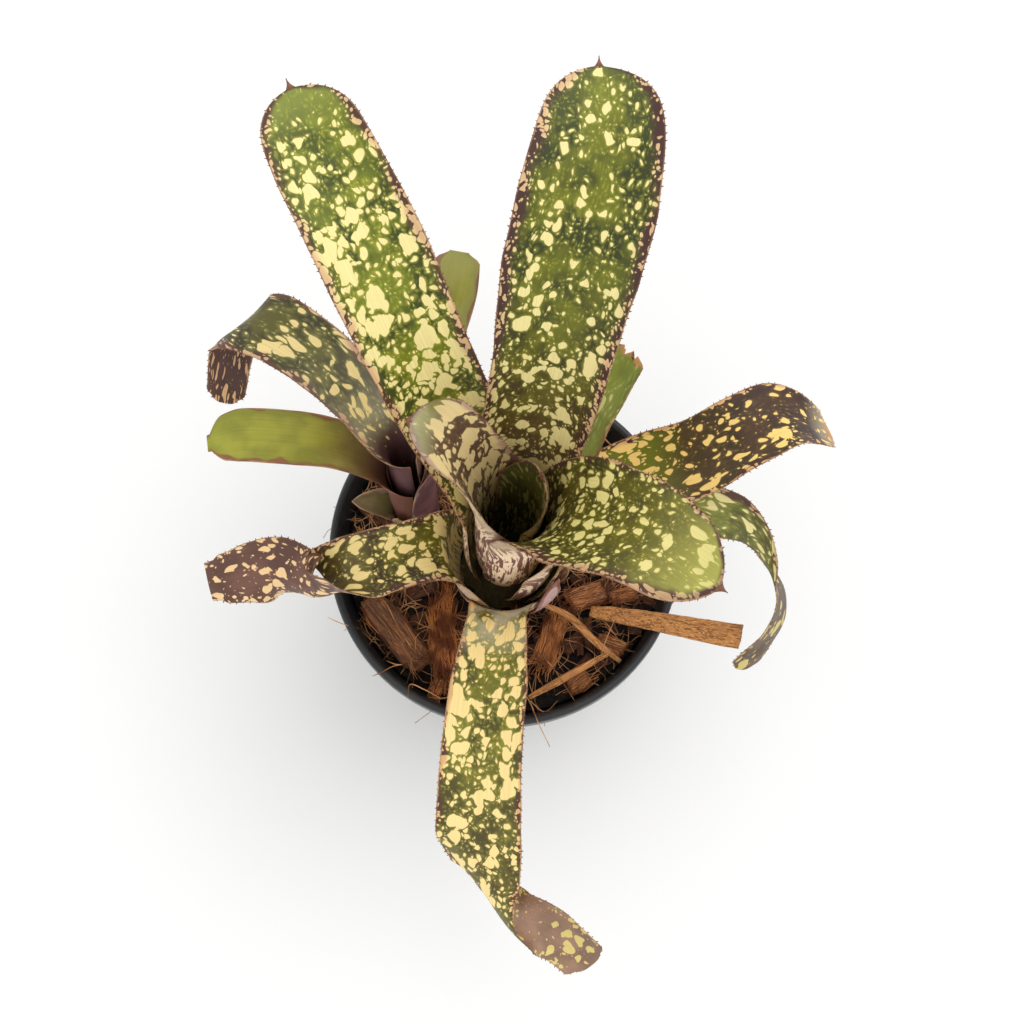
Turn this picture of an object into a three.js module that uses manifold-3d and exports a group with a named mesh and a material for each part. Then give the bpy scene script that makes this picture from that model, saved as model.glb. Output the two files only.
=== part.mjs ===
// A spotted billbergia and its young offset, growing in a small nursery pot of bark and coconut husk.
// Millimetres, +Z up. The origin is the middle of the pot's foot, and the front of the pot is at -Y.
import * as THREE from "three";
import { mergeVertices } from "three/addons/utils/BufferGeometryUtils.js";
import Module from "manifold-3d";

const wasm = await Module();
wasm.setup();

// The pot
const potHeight = 95;
const rimRadius = 57;
const footRadius = 41;
const potWall = 1.3;
const lipWidth = 2.8;
const lipDepth = 8;
const potSides = 48;
const drainHoles = 6;
const drainRadius = 4;
const drainRing = 31;

// The filling
const fillTop = 83;
const fillBottom = 2.2;
const fitGap = 0.35;

// The leaves
const leafThickness = 0.7;
const shellPitch = 1.2;
const cellLength = 12;
const cellTurn = 0.5;
const toothHeight = 1.2;
const toothBase = 1.6;
const mucroLength = 2.6;
const pointedEnd = 0.1;
const flatBend = 1e-4;
const stemDepth = 10;

// The mother plant and its offset: where each one's foot is, how it leans, and the inner radius of its
// cup at each height above the foot.
const mother = {
  foot: [0, -3, 80],
  firstLeafFoot: 12,
  hole: 19.5,
  lean: [0.027, 0.041, 1],
  cup: [[0, 3.4], [8, 5.2], [22, 7.8], [40, 8.6], [70, 8.8], [95, 9.6], [120, 11]],
};
const offset = {
  foot: [-28, 10, 80],
  firstLeafFoot: 4,
  hole: 10.4,
  lean: [-0.06, 0.21, 1],
  cup: [[0, 2.2], [10, 3.2], [30, 4], [60, 4.6]],
};

// Each leaf stands in its own shell of the cup, counted from the middle. It has the azimuth that it
// faces, the height where it leaves the cup, how far it wraps round the cup at its foot and at that
// height, the share of its width left at a flat end, and rows of its blade: reach, height, sideways
// shift, half width, channel radius, twist. Where the radius is negative the margins bend downwards.
const motherLeaves = [
  {
    name: "leaf_youngest", shell: 0, azimuth: 20, rise: 90, wrap: [110, 95], strips: 8, tip: 8,
    blade: [[10, 98, 0, 11, 11, 0], [10, 104, 0.2, 9, 11, 0], [8.8, 108.5, 0.4, 7, 12, 0]],
    tone: "spotted",
  },
  {
    name: "leaf_inner_left", shell: 1, azimuth: 160, rise: 88, wrap: [112, 106], strips: 8, tip: 14,
    blade: [
      [13, 102, 0, 15.4, 11.5, 0], [15.6, 118, 0.2, 13.4, 11.5, 0], [20, 136, 1.2, 12.8, 12, 0],
      [25, 148, 2, 12, 14, 0], [30, 153, 3, 10.5, 16, 0],
    ],
    tone: "spotted",
  },
  {
    name: "leaf_right_broad", shell: 2, azimuth: 325, rise: 80, wrap: [105, 88], strips: 8, tip: 15,
    blade: [
      [15, 100, 0, 18.5, 14, 0], [20, 118, 0, 19, 20, 0], [27, 132, -0.8, 19.3, 28, 0],
      [42, 158, -1.9, 15.6, 36, 0], [54, 172.5, -4.8, 13.2, 45, 0], [66, 177, -6, 11.2, 50, 0],
    ],
    tone: "spotted",
  },
  {
    name: "leaf_back", shell: 3, azimuth: 78, rise: 76, wrap: [100, 80], strips: 8, tip: 21,
    blade: [
      [16, 92, -1, 18, 15, 0], [22, 106, -2, 17.8, 18, 0], [36, 131, -3.2, 18, 26, 0],
      [55, 149, -3.4, 20.2, 36, 0], [72, 159.5, -4.2, 20.2, 42, 0], [92, 164.5, -3.4, 17.8, 48, 0],
      [107.8, 164, 0.4, 16, 50, 0],
    ],
    tone: "spotted",
  },
  {
    name: "leaf_back_left", shell: 4, azimuth: 122, rise: 72, wrap: [100, 78], strips: 8, tip: 17,
    blade: [
      [18.6, 88, 1.5, 16, 16, 0], [27, 103, 4, 15.5, 19, 0], [44, 131, 6, 15.5, 28, 0],
      [69, 149.5, 4.5, 16.2, 38, 0], [94, 157, 2.8, 15.3, 45, 0], [118.5, 158.5, 0, 13.6, 50, 0],
    ],
    tone: "spotted",
  },
  {
    name: "leaf_back_cut", shell: 5, azimuth: 50, rise: 60, wrap: [80, 55], strips: 6, tip: 1.5, blunt: 0.45,
    blade: [
      [20, 72, 0, 14, 15, 0], [29, 82, -0.7, 11, 12, 0], [39, 90.5, 0.5, 9.5, 10, 0],
      [48, 97, 1, 8, 9, 0], [55, 101, 1.5, 7, 9, 0],
    ],
    tone: "spotted",
  },
  {
    name: "leaf_right_dark", shell: 6, azimuth: 8, rise: 52, wrap: [102, 80], strips: 8, tip: 3, blunt: 0.75,
    blade: [
      [20, 62, 1, 15, 17, 0], [30, 68, 3.8, 13.8, 20, 0], [42, 73.5, 6.8, 13.2, 26, 0],
      [57, 84, 7, 13.2, 34, 0], [72, 89.5, 12, 13, 40, 0], [83, 87.5, 15.6, 12.6, 36, 0],
      [90.5, 83, 15, 11, 26, 0], [95.5, 78.5, 13.2, 9, 20, 0], [99.6, 75, 12, 6.6, 18, 0],
    ],
    tone: "dark",
  },
  {
    name: "leaf_right_twisted", shell: 8, azimuth: 8, rise: 38, wrap: [75, 50], strips: 6, tip: 4, blunt: 0.7,
    blade: [
      [21, 47, 0, 13, 18, 0], [33, 56, 1.5, 10, 24, 0], [44, 61.5, 2, 9.3, 30, 0],
      [57, 64.5, -3, 8.4, 30, 8], [68, 65, -7.5, 7.4, 30, 22], [73.6, 63, -12.5, 6.2, 30, 52],
      [76.6, 59, -18, 5.4, 30, 78], [78.5, 52, -23.4, 6, 30, 110], [81.4, 44, -28.4, 7, 30, 134],
      [82, 37, -33, 7.6, 30, 150], [79.6, 28, -38.4, 7.4, 30, 168], [74.6, 20, -43, 7.4, 30, 182],
      [70, 14.5, -46.4, 7, 30, 190],
    ],
    tone: "spotted",
  },
  {
    name: "leaf_left_rolled", shell: 9, azimuth: 190, rise: 28, wrap: [82, 60], strips: 10, tip: 5, blunt: 0.85,
    blade: [
      [21, 38, -0.5, 14, 18, 0], [26, 45, 0, 11.6, 16, 0], [34, 51, 1.8, 10.8, 16, 0],
      [44, 55.5, 4, 11.2, 19, 0], [50, 56, 6, 12, 12, 18], [54, 55, 8.2, 14.4, 8.4, 48],
      [58, 53.7, 10.4, 16, 6.8, 84], [62.5, 52.5, 10, 16, 7, 112], [67.5, 51.5, 5.8, 14.4, 9.5, 138],
      [73, 51, 1, 12.4, 18, 164], [79.5, 50, -0.8, 10, 25, 180], [86, 48, -1, 8.4, 30, 183],
      [94, 46, -1.2, 7.2, 30, 183],
    ],
    tone: "dark",
  },
  {
    name: "leaf_front", shell: 10, azimuth: 268, rise: 18, wrap: [80, 40], strips: 10, tip: 3.5, blunt: 0.72,
    blade: [
      [20.5, 27, -1, 11, 18, 0], [25, 33, -2, 10, 16, 0], [34, 37, -3, 11, 22, 0],
      [46, 39.5, -4, 12.5, 30, 0], [70, 40, -5.5, 13, 40, 0], [89, 30.2, -5.4, 13.8, 40, 0],
      [95.5, 26, -5, 13.5, -100, 8], [102, 21, -4, 13.2, -40, 22], [108, 16.5, -2.4, 12.6, -17, 46],
      [113, 13, 1.4, 11.6, -9, 78], [115.6, 10.5, 6.8, 10.6, -8, 112], [117.2, 8, 15.2, 9.2, -11, 146],
      [121, 5, 22.8, 8.6, -20, 170], [128.4, 1, 32, 8.4, -30, 178],
    ],
    tone: "spotted",
  },
  {
    name: "scale_lilac", shell: 11, azimuth: 312, rise: 18, wrap: [22, 16], strips: 4, tip: 6, smooth: true,
    blade: [[20.8, 26, 0, 5, 20, 0], [19.9, 33, 1.5, 3.4, 20, 0], [19.9, 39, 3, 2.4, 20, 0]],
    tone: "dry",
  },
  {
    name: "scale_brown", shell: 11, azimuth: 347, rise: 14, wrap: [11, 9], strips: 2, tip: 4, smooth: true,
    blade: [[20.8, 22, 0, 2.6, 20, 0], [20.6, 28, 1, 1.6, 20, 0]],
    tone: "dry",
  },
];

const offsetLeaves = [
  {
    name: "pup_leaf_arching", shell: 0, azimuth: 135, rise: 60, wrap: [168, 166], strips: 8, tip: 4, blunt: 0.75,
    blade: [
      [5.8, 66, 1, 11.2, 5.8, 0], [7.4, 72, 2.4, 8, 7.6, 0], [10.4, 77.5, 3, 7.6, 10, 0],
      [16, 82.8, 2.3, 9.4, 16, 0], [27, 88, 2.2, 10.5, 28, 0], [38, 90, 3.8, 11, 34, 0],
      [46, 91, 5.6, 11.2, 80, 0], [52, 90, 7.8, 11.2, -50, 6], [56, 86.5, 10.5, 10.4, -20, 30],
      [58, 81.5, 13, 9.2, -10, 60], [58.2, 76, 15.2, 7.6, -10, 82], [56, 72, 19, 6.8, -16, 93],
      [53.2, 68, 23.3, 6.2, -25, 95], [51.2, 64, 27.4, 6, -30, 95],
    ],
    tone: "spotted",
  },
  {
    name: "pup_leaf_back", shell: 1, azimuth: 75, rise: 44, wrap: [150, 130], strips: 8, tip: 3, smooth: true,
    blade: [
      [6.6, 52, 0, 7.2, 6.6, 0], [7.4, 60, -0.6, 6.4, 7.4, 0], [8.6, 69, -2.4, 6.4, 9, 0],
      [11.2, 79, -4.2, 6.6, 11, 0],
      [15.5, 88, -6, 7.3, 13, 0], [24.3, 101.5, -9, 8, 18, 0], [34, 111.5, -11.2, 7.3, 22, 0],
      [43.5, 116.5, -10.8, 6.5, 24, 0],
    ],
    tone: "plain",
  },
  {
    name: "pup_leaf_left", shell: 2, azimuth: 172, rise: 42, wrap: [118, 112], strips: 8, tip: 6, smooth: true,
    blade: [
      [8.6, 51, 0.8, 8.6, 9, 0], [11, 60, 2.2, 8.4, 11, 0], [14.5, 68, 4, 8.2, 15, 0],
      [21, 73, 4.8, 8.2, 20, 0], [29, 75.2, 5.5, 8.7, 26, 0], [48, 73.6, 5.8, 8.5, 30, 0],
      [58, 70.5, 8.2, 6, 30, 0],
    ],
    tone: "plain",
  },
  {
    name: "pup_sheath_right", shell: 3, azimuth: 325, rise: 37, wrap: [74, 46], strips: 6, tip: 8, smooth: true,
    blunt: 0.15,
    blade: [[8.6, 46, 0.8, 5.4, 8, 0], [9.4, 55, 2.4, 3.6, 9, 0]],
    tone: "purple",
  },
  {
    name: "pup_scale_left", shell: 3, azimuth: 182, rise: 17, wrap: [42, 38], strips: 4, tip: 12, smooth: true,
    blunt: 0.15,
    blade: [[9.8, 22, 0.4, 5.6, 9, 0], [12.8, 26.5, 1.4, 5.2, 10, 0], [19, 30, 2, 4.4, 12, 0]],
    tone: "plain",
  },
  {
    name: "pup_scale_front", shell: 4, azimuth: 247, rise: 17, wrap: [28, 25], strips: 4, tip: 8, smooth: true,
    blunt: 0.15,
    blade: [[9.3, 23, 0, 3.9, 9, 0], [10, 30, -0.4, 3.2, 9, 0]],
    tone: "plain",
  },
  {
    name: "pup_scale_right", shell: 4, azimuth: 334, rise: 14, wrap: [34, 28], strips: 4, tip: 4, smooth: true,
    blade: [[9.3, 18, 0, 3.6, 9, 0], [9.6, 22, 0, 2.4, 9, 0]],
    tone: "purple",
  },
];

// Pieces of bark and husk that lie on the filling: middle, length, width, thickness, turn, tilt.
const chips = [
  { name: "husk_chip_front", at: [14.8, -28.6], size: [14, 7, 3.4], turn: 72, tilt: 4 },
  { name: "husk_chip_right", at: [26.6, -13.6], size: [12, 8, 4], turn: 20, tilt: -6 },
  { name: "husk_chip_far_right", at: [38.6, -13.4], size: [8.5, 4.6, 3], turn: 10, tilt: 5 },
  { name: "husk_chip_under_stick", at: [35, -29.6], size: [9.5, 5.4, 3.4], turn: 160, tilt: 4 },
  { name: "husk_chip_rim", at: [24, -41.8], size: [8, 7, 3.6], turn: 35, tilt: 5 },
  { name: "husk_bundle", at: [-20, -26.4], size: [21.5, 7.2, 4.2], turn: 96, tilt: -3 },
  { name: "husk_chip_small", at: [-21.8, -43.4], size: [6, 4, 2.6], turn: 70, tilt: 6 },
  { name: "husk_chip_back", at: [30.5, 25], size: [11, 7.4, 3.6], turn: 130, tilt: -5 },
  { name: "bark_slab", at: [-35.2, -25.6], size: [28.5, 9.6, 3.6], turn: 128, tilt: 4 },
];

// The long bark stick that lies across the rim: middle of each section, width, thickness.
const stickRows = [
  [28, -19.2, 91, 3.4, 2.2], [33, -20.1, 93, 4.6, 3], [42, -22.2, 96.4, 5.6, 3.4],
  [52, -24.6, 100.2, 6.4, 3.6], [63, -27.3, 103, 7.2, 3.6], [71, -29, 105, 7.8, 3.6],
  [75.2, -29.8, 106, 7.8, 3.4],
];

function alongProfile(profile, height) {
  const last = profile.length - 1;
  if (height <= profile[0][0]) return profile[0][1];
  for (let i = 0; i < last; i++) {
    const [h0, r0] = profile[i];
    const [h1, r1] = profile[i + 1];
    if (height <= h1) return r0 + ((r1 - r0) * (height - h0)) / (h1 - h0);
  }
  return profile[last][1];
}

function shellRadius(plant, leaf, height) {
  return alongProfile(plant.cup, height) + leafThickness / 2 + shellPitch * leaf.shell;
}

// Outer leaves grow from lower on the stem, which is a blunt cone under them all.
const footDrop = 1.1;
function footHeight(plant, leaf) {
  return plant.firstLeafFoot - footDrop * leaf.shell;
}

// Control rows of a whole leaf, in its own frame: x outward, y sideways, z up.
function leafRows(plant, leaf) {
  const foot = footHeight(plant, leaf);
  const sheathSteps = Math.max(2, Math.round((leaf.rise - foot) / 9));
  const rows = [];
  for (let i = 0; i <= sheathSteps; i++) {
    const share = i / sheathSteps;
    const height = foot + (leaf.rise - foot) * share;
    const radius = shellRadius(plant, leaf, height);
    const wrap = THREE.MathUtils.degToRad(leaf.wrap[0] + (leaf.wrap[1] - leaf.wrap[0]) * share);
    rows.push([radius, height, 0, radius * wrap, radius, 0]);
  }
  return { rows: rows.concat(leaf.blade), sheathSteps };
}

// Samples the leaf's path about every millimetre. Up the cup the section lies level, as an arc round the
// axis. Past it the section is carried along the path without spin, apart from the rows' own twist.
function leafSamples(plant, leaf) {
  const { rows, sheathSteps } = leafRows(plant, leaf);
  const line = new THREE.CatmullRomCurve3(rows.map((r) => new THREE.Vector3(r[0], r[2], r[1])));
  const between = (t, value) => {
    const at = t * (rows.length - 1);
    const i = Math.min(Math.floor(at), rows.length - 2);
    return value(rows[i]) + (value(rows[i + 1]) - value(rows[i])) * (at - i);
  };
  const count = 40 * (rows.length - 1);
  const riseAt = sheathSteps / (rows.length - 1);
  const samples = [];
  let length = 0;
  let width = new THREE.Vector3(0, 1, 0);
  let before = null;
  for (let i = 0; i <= count; i++) {
    const t = i / count;
    const centre = line.getPoint(t);
    const along = line.getTangent(t);
    if (before) length += centre.distanceTo(before.centre);
    if (t > riseAt) {
      width = width.clone().addScaledVector(along, -width.dot(along)).normalize();
    }
    const carried = new THREE.Vector3().crossVectors(width, along).normalize();
    const blend = THREE.MathUtils.smoothstep(t, riseAt, Math.min(1, riseAt + 2 / (rows.length - 1)));
    const level = new THREE.Vector3(-1, 0, 0);
    const inward = level.multiplyScalar(1 - blend).addScaledVector(carried.negate(), blend).normalize();
    before = {
      centre, along, width, inward, length,
      half: between(t, (r) => r[3]), bend: between(t, (r) => 1 / r[4]),
      twist: THREE.MathUtils.degToRad(between(t, (r) => r[5])),
    };
    samples.push(before);
  }
  return samples;
}

// The end of a leaf is rounded over its tip length, down to the share of its width left at a flat end.
function tipShare(leaf, fromEnd) {
  if (fromEnd >= leaf.tip) return 1;
  const x = Math.max(fromEnd, 0) / leaf.tip;
  return Math.pow(1 - Math.pow(1 - x, 1.6), 0.62);
}

// Turns samples into a function of the length along the leaf and the share of its width.
function leafSurface(plant, leaf) {
  const samples = leafSamples(plant, leaf);
  const total = samples[samples.length - 1].length;
  const blunt = leaf.blunt ?? (leaf.smooth ? 0.45 : pointedEnd);
  const at = (distance, share) => {
    let i = samples.findIndex((s) => s.length >= distance);
    if (i < 1) i = i < 0 ? samples.length - 1 : 1;
    const a = samples[i - 1];
    const b = samples[i];
    const mix = THREE.MathUtils.clamp((distance - a.length) / (b.length - a.length), 0, 1);
    const lerp = (key) => a[key].clone().lerp(b[key], mix);
    const number = (key) => a[key] + (b[key] - a[key]) * mix;
    const along = lerp("along").normalize();
    const twist = number("twist");
    const width = lerp("width").normalize();
    const inward = lerp("inward").normalize();
    const w = width.clone().multiplyScalar(Math.cos(twist)).addScaledVector(inward, Math.sin(twist));
    const n = inward.clone().multiplyScalar(Math.cos(twist)).addScaledVector(width, -Math.sin(twist));
    const bend = Math.abs(number("bend")) < flatBend ? flatBend : number("bend");
    const end = Math.max(tipShare(leaf, total - distance), blunt);
    const angle = bend * number("half") * end * share;
    const point = lerp("centre")
      .addScaledVector(w, Math.sin(angle) / bend)
      .addScaledVector(n, (1 - Math.cos(angle)) / bend);
    const normal = n.clone().multiplyScalar(Math.cos(angle)).addScaledVector(w, -Math.sin(angle));
    const outward = w.clone().multiplyScalar(Math.cos(angle)).addScaledVector(n, Math.sin(angle));
    return { point, normal, outward, along };
  };
  return { at, samples, total };
}

// Where the cross rows of a leaf's mesh lie: closer where it bends or twists, and over the rounded end.
function stationDistances(leaf, samples, total) {
  const bodyLength = total - leaf.tip;
  const body = samples.filter((s) => s.length < bodyLength);
  const cost = [0];
  for (let i = 1; i < body.length; i++) {
    const [a, b] = [body[i - 1], body[i]];
    const turn = a.along.angleTo(b.along) + Math.abs(b.twist - a.twist);
    cost.push(cost[i - 1] + (b.length - a.length) / cellLength + turn / cellTurn);
  }
  const whole = cost[cost.length - 1];
  const cells = Math.max(3, Math.round(whole));
  const list = [];
  for (let i = 0; i < cells; i++) list.push(body[cost.findIndex((c) => c >= (whole * i) / cells)].length);
  list.push(bodyLength);
  const ends = leaf.tip > 4 ? [0.4, 0.7, 0.88, 0.97, 1] : [1];
  ends.forEach((share) => list.push(bodyLength + leaf.tip * share));
  return list;
}

// Collects corners and triangles of one closed solid.
class Shell {
  constructor() {
    this.corners = [];
    this.faces = [];
  }
  corner(p) {
    return this.corners.push(p.x, p.y, p.z) / 3 - 1;
  }
  triangle(a, b, c) {
    this.faces.push(a, b, c);
  }
  quad(a, b, c, d) {
    this.triangle(a, b, c);
    this.triangle(a, c, d);
  }
  geometry() {
    const made = new THREE.BufferGeometry();
    made.setAttribute("position", new THREE.Float32BufferAttribute(this.corners, 3));
    made.setIndex(this.faces);
    return made;
  }
}

// One leaf: an upper and a lower face split alike, walls with a forward-leaning spine in each cell, a
// closed foot and a pointed end.
function leafGeometry(plant, leaf) {
  const { at, samples, total } = leafSurface(plant, leaf);
  const stations = stationDistances(leaf, samples, total);
  const strips = leaf.strips;
  const shell = new Shell();
  const sides = [leafThickness / 2, -leafThickness / 2];
  const toothFrom = leaf.smooth ? Infinity : leaf.toothFrom ?? leaf.rise + 6;

  const pair = (distance, share) => {
    const { point, normal } = at(distance, share);
    return sides.map((lift) => shell.corner(point.clone().addScaledVector(normal, lift)));
  };
  const grid = stations.map((distance) => {
    const row = [];
    for (let j = 0; j <= strips; j++) row.push(pair(distance, (2 * j) / strips - 1));
    return row;
  });

  // face 0 is the upper one, seen with the leaf's foot below and its sides turned about
  const facing = (face, a, b, c) => (face === 0 ? shell.triangle(a, c, b) : shell.triangle(a, b, c));

  for (let i = 0; i < stations.length - 1; i++) {
    const cell = stations[i + 1] - stations[i];
    const toothed = stations[i] > toothFrom && stations[i + 1] < total - 1 && cell > 2.4 * toothBase;
    const cut = stations[i + 1] - toothBase;
    for (let j = 0; j < strips; j++) {
      const leftEdge = toothed && j === 0;
      const rightEdge = toothed && j === strips - 1;
      const extra = leftEdge || rightEdge ? pair(cut, leftEdge ? -1 : 1) : null;
      for (const face of [0, 1]) {
        const a = grid[i][j][face];
        const b = grid[i][j + 1][face];
        const c = grid[i + 1][j + 1][face];
        const d = grid[i + 1][j][face];
        if (leftEdge) {
          facing(face, extra[face], a, b);
          facing(face, extra[face], b, c);
          facing(face, extra[face], c, d);
        } else if (rightEdge) {
          facing(face, extra[face], d, a);
          facing(face, extra[face], a, b);
          facing(face, extra[face], c, d);
        } else if (2 * j < strips) {
          facing(face, a, b, d);
          facing(face, b, c, d);
        } else {
          facing(face, a, b, c);
          facing(face, a, c, d);
        }
      }
      if (j === 0) edgeWall(shell, at, grid[i][0], extra, grid[i + 1][0], cut, -1);
      if (j === strips - 1) edgeWall(shell, at, grid[i][strips], extra, grid[i + 1][strips], cut, 1);
    }
  }
  for (let j = 0; j < strips; j++) {
    const [a, b] = [grid[0][j], grid[0][j + 1]];
    shell.quad(a[0], b[0], b[1], a[1]);
  }
  closeEnd(shell, grid[grid.length - 1], at, total, leaf);
  return shell.geometry();
}

// The narrow wall along one side of a cell: plain, or plain and then a spine.
function edgeWall(shell, at, low, extra, high, cut, side) {
  const wall = (p, q) => {
    if (side < 0) shell.quad(p[1], q[1], q[0], p[0]);
    else shell.quad(p[0], q[0], q[1], p[1]);
  };
  if (!extra) {
    wall(low, high);
    return;
  }
  wall(low, extra);
  const root = at(cut + toothBase / 2, side);
  const tip = root.point.clone()
    .addScaledVector(root.outward, side * toothHeight)
    .addScaledVector(root.along, toothHeight * 0.6);
  const apex = shell.corner(tip);
  const ring = side < 0 ? [extra[1], high[1], high[0], extra[0]] : [extra[0], high[0], high[1], extra[1]];
  ring.forEach((corner, k) => shell.triangle(corner, ring[(k + 1) % 4], apex));
}

// A whole leaf ends in a small point, and the others in a flat face.
function closeEnd(shell, row, at, total, leaf) {
  const last = row.length - 1;
  if (leaf.blunt || leaf.smooth) {
    for (let j = 0; j < last; j++) shell.quad(row[j][1], row[j + 1][1], row[j + 1][0], row[j][0]);
    return;
  }
  const { point, along } = at(total, 0);
  const apex = shell.corner(point.clone().addScaledVector(along, mucroLength));
  for (let j = 0; j < last; j++) {
    shell.triangle(row[j + 1][0], row[j][0], apex);
    shell.triangle(row[j][1], row[j + 1][1], apex);
  }
  shell.triangle(row[0][0], row[0][1], apex);
  shell.triangle(row[last][1], row[last][0], apex);
}

const tones = {
  spotted: { color: 0x5f7a2c, roughness: 0.5, metalness: 0 },
  dark: { color: 0x55402f, roughness: 0.5, metalness: 0 },
  plain: { color: 0x7f9a3c, roughness: 0.5, metalness: 0 },
  purple: { color: 0x6a4650, roughness: 0.55, metalness: 0 },
  dry: { color: 0xa48a86, roughness: 0.8, metalness: 0 },
  stem: { color: 0xb9ab7c, roughness: 0.8, metalness: 0 },
  plastic: { color: 0x1d1f21, roughness: 0.45, metalness: 0 },
  filling: { color: 0x2c2019, roughness: 0.95, metalness: 0 },
  bark: { color: 0x8a5a34, roughness: 0.9, metalness: 0 },
};

function meshOf(name, geometry, tone) {
  const mesh = new THREE.Mesh(geometry, new THREE.MeshStandardMaterial(tones[tone]));
  mesh.name = name;
  return mesh;
}

function leafMesh(plant, leaf) {
  const mesh = meshOf(leaf.name, leafGeometry(plant, leaf), leaf.tone);
  mesh.rotation.z = THREE.MathUtils.degToRad(leaf.azimuth);
  return mesh;
}

// The stem is a blunt cone that follows the feet of the leaves round it.
function stemFootRadius(plant, leaves) {
  const widest = Math.max(...leaves.map((leaf) => leaf.shell));
  return 0.8 * shellRadius(plant, { shell: widest }, 0);
}

function stemMesh(name, plant, leaves) {
  const widest = Math.max(...leaves.map((leaf) => leaf.shell));
  const radiusOf = (shell) => shellRadius(plant, { shell }, footHeight(plant, { shell })) - leafThickness / 2;
  const shoulder = footHeight(plant, { shell: widest });
  const outline = [
    [0, -stemDepth], [stemFootRadius(plant, leaves), -stemDepth],
    [radiusOf(widest) + shellPitch, shoulder - 3], [radiusOf(widest) + shellPitch, shoulder - 1],
  ];
  for (let shell = widest; shell >= 0; shell -= 1) {
    outline.push([radiusOf(shell), footHeight(plant, { shell }) - fitGap]);
  }
  outline.push([0, footHeight(plant, { shell: 0 }) + 1]);
  const body = new THREE.LatheGeometry(outline.map(([x, y]) => new THREE.Vector2(x, y)), 24);
  return meshOf(name, body.rotateX(Math.PI / 2), "stem");
}

function plantGroup(plant, leaves, stemName) {
  const group = new THREE.Group();
  group.position.set(...plant.foot);
  const lean = new THREE.Vector3(...plant.lean).normalize();
  group.quaternion.setFromUnitVectors(new THREE.Vector3(0, 0, 1), lean);
  group.add(stemMesh(stemName, plant, leaves));
  leaves.forEach((leaf) => group.add(leafMesh(plant, leaf)));
  return group;
}

// Booleans, for the pot's drain holes and the holes that the stems stand in.
function solidOf(geometry) {
  const plain = geometry.clone();
  plain.deleteAttribute("normal");
  plain.deleteAttribute("uv");
  const merged = mergeVertices(plain, 1e-4);
  return new wasm.Manifold(new wasm.Mesh({
    numProp: 3,
    vertProperties: merged.attributes.position.array,
    triVerts: new Uint32Array(merged.index.array),
  }));
}

function geometryOf(solid) {
  const mesh = solid.getMesh();
  const made = new THREE.BufferGeometry();
  made.setAttribute("position", new THREE.BufferAttribute(mesh.vertProperties, 3));
  made.setIndex(new THREE.BufferAttribute(mesh.triVerts, 1));
  return made;
}

function uprightCylinder(radius, low, high, x, y, sides) {
  const made = new THREE.CylinderGeometry(radius, radius, high - low, sides);
  made.rotateX(Math.PI / 2);
  made.translate(x, y, (low + high) / 2);
  return made;
}

// Outer radius of the pot's wall under its lip
function wallRadius(height) {
  const top = rimRadius - 1.6;
  return footRadius + ((top - footRadius) * height) / potHeight;
}

function potSolid() {
  const lipFoot = potHeight - lipDepth;
  const outline = [
    [0, 0], [footRadius - 1, 0], [footRadius, 1], [wallRadius(lipFoot), lipFoot],
    [rimRadius - 0.4, lipFoot + 0.6], [rimRadius, lipFoot + 1.4], [rimRadius, potHeight - 1],
    [rimRadius - 0.7, potHeight], [rimRadius - lipWidth + 0.7, potHeight],
    [rimRadius - lipWidth, potHeight - 0.8], [wallRadius(lipFoot - 2) - potWall, lipFoot - 2],
    [wallRadius(3) - potWall, 3], [footRadius - potWall - 2.4, 1.8], [0, 1.8],
  ].map(([x, y]) => new THREE.Vector2(x, y));
  const body = new THREE.LatheGeometry(outline, potSides);
  body.rotateX(Math.PI / 2);
  let solid = solidOf(body);
  for (let i = 0; i < drainHoles; i++) {
    const angle = (2 * Math.PI * (i + 0.5)) / drainHoles;
    const [x, y] = [drainRing * Math.cos(angle), drainRing * Math.sin(angle)];
    solid = solid.subtract(solidOf(uprightCylinder(drainRadius, -2, 6, x, y, 16)));
  }
  return solid;
}

// Height of the filling's lumpy top
function fillHeight(x, y) {
  const lumps = Math.sin(0.31 * x + 0.7) * Math.cos(0.27 * y - 0.4) + 0.6 * Math.sin(0.19 * x - 0.37 * y);
  return fillTop + 1.3 * lumps;
}

function fillGeometry() {
  const rings = 7;
  const around = 32;
  const outer = wallRadius(fillTop) - potWall - 0.8;
  const foot = wallRadius(3) - potWall - 3;
  const shell = new Shell();
  const point = (radius, k, z) => {
    const angle = (2 * Math.PI * k) / around;
    const [x, y] = [radius * Math.cos(angle), radius * Math.sin(angle)];
    return shell.corner(new THREE.Vector3(x, y, z ?? fillHeight(x, y)));
  };
  const middle = shell.corner(new THREE.Vector3(0, 0, fillHeight(0, 0)));
  const loops = [];
  for (let i = 1; i <= rings; i++) {
    loops.push(Array.from({ length: around }, (_, k) => point((outer * i) / rings, k)));
  }
  loops.push(Array.from({ length: around }, (_, k) => point(foot, k, fillBottom)));
  const under = shell.corner(new THREE.Vector3(0, 0, fillBottom));
  for (let k = 0; k < around; k++) {
    const next = (k + 1) % around;
    shell.triangle(middle, loops[0][k], loops[0][next]);
    for (let i = 0; i < loops.length - 1; i++) {
      shell.quad(loops[i][k], loops[i + 1][k], loops[i + 1][next], loops[i][next]);
    }
    shell.triangle(loops[loops.length - 1][next], loops[loops.length - 1][k], under);
  }
  return shell.geometry();
}

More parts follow.
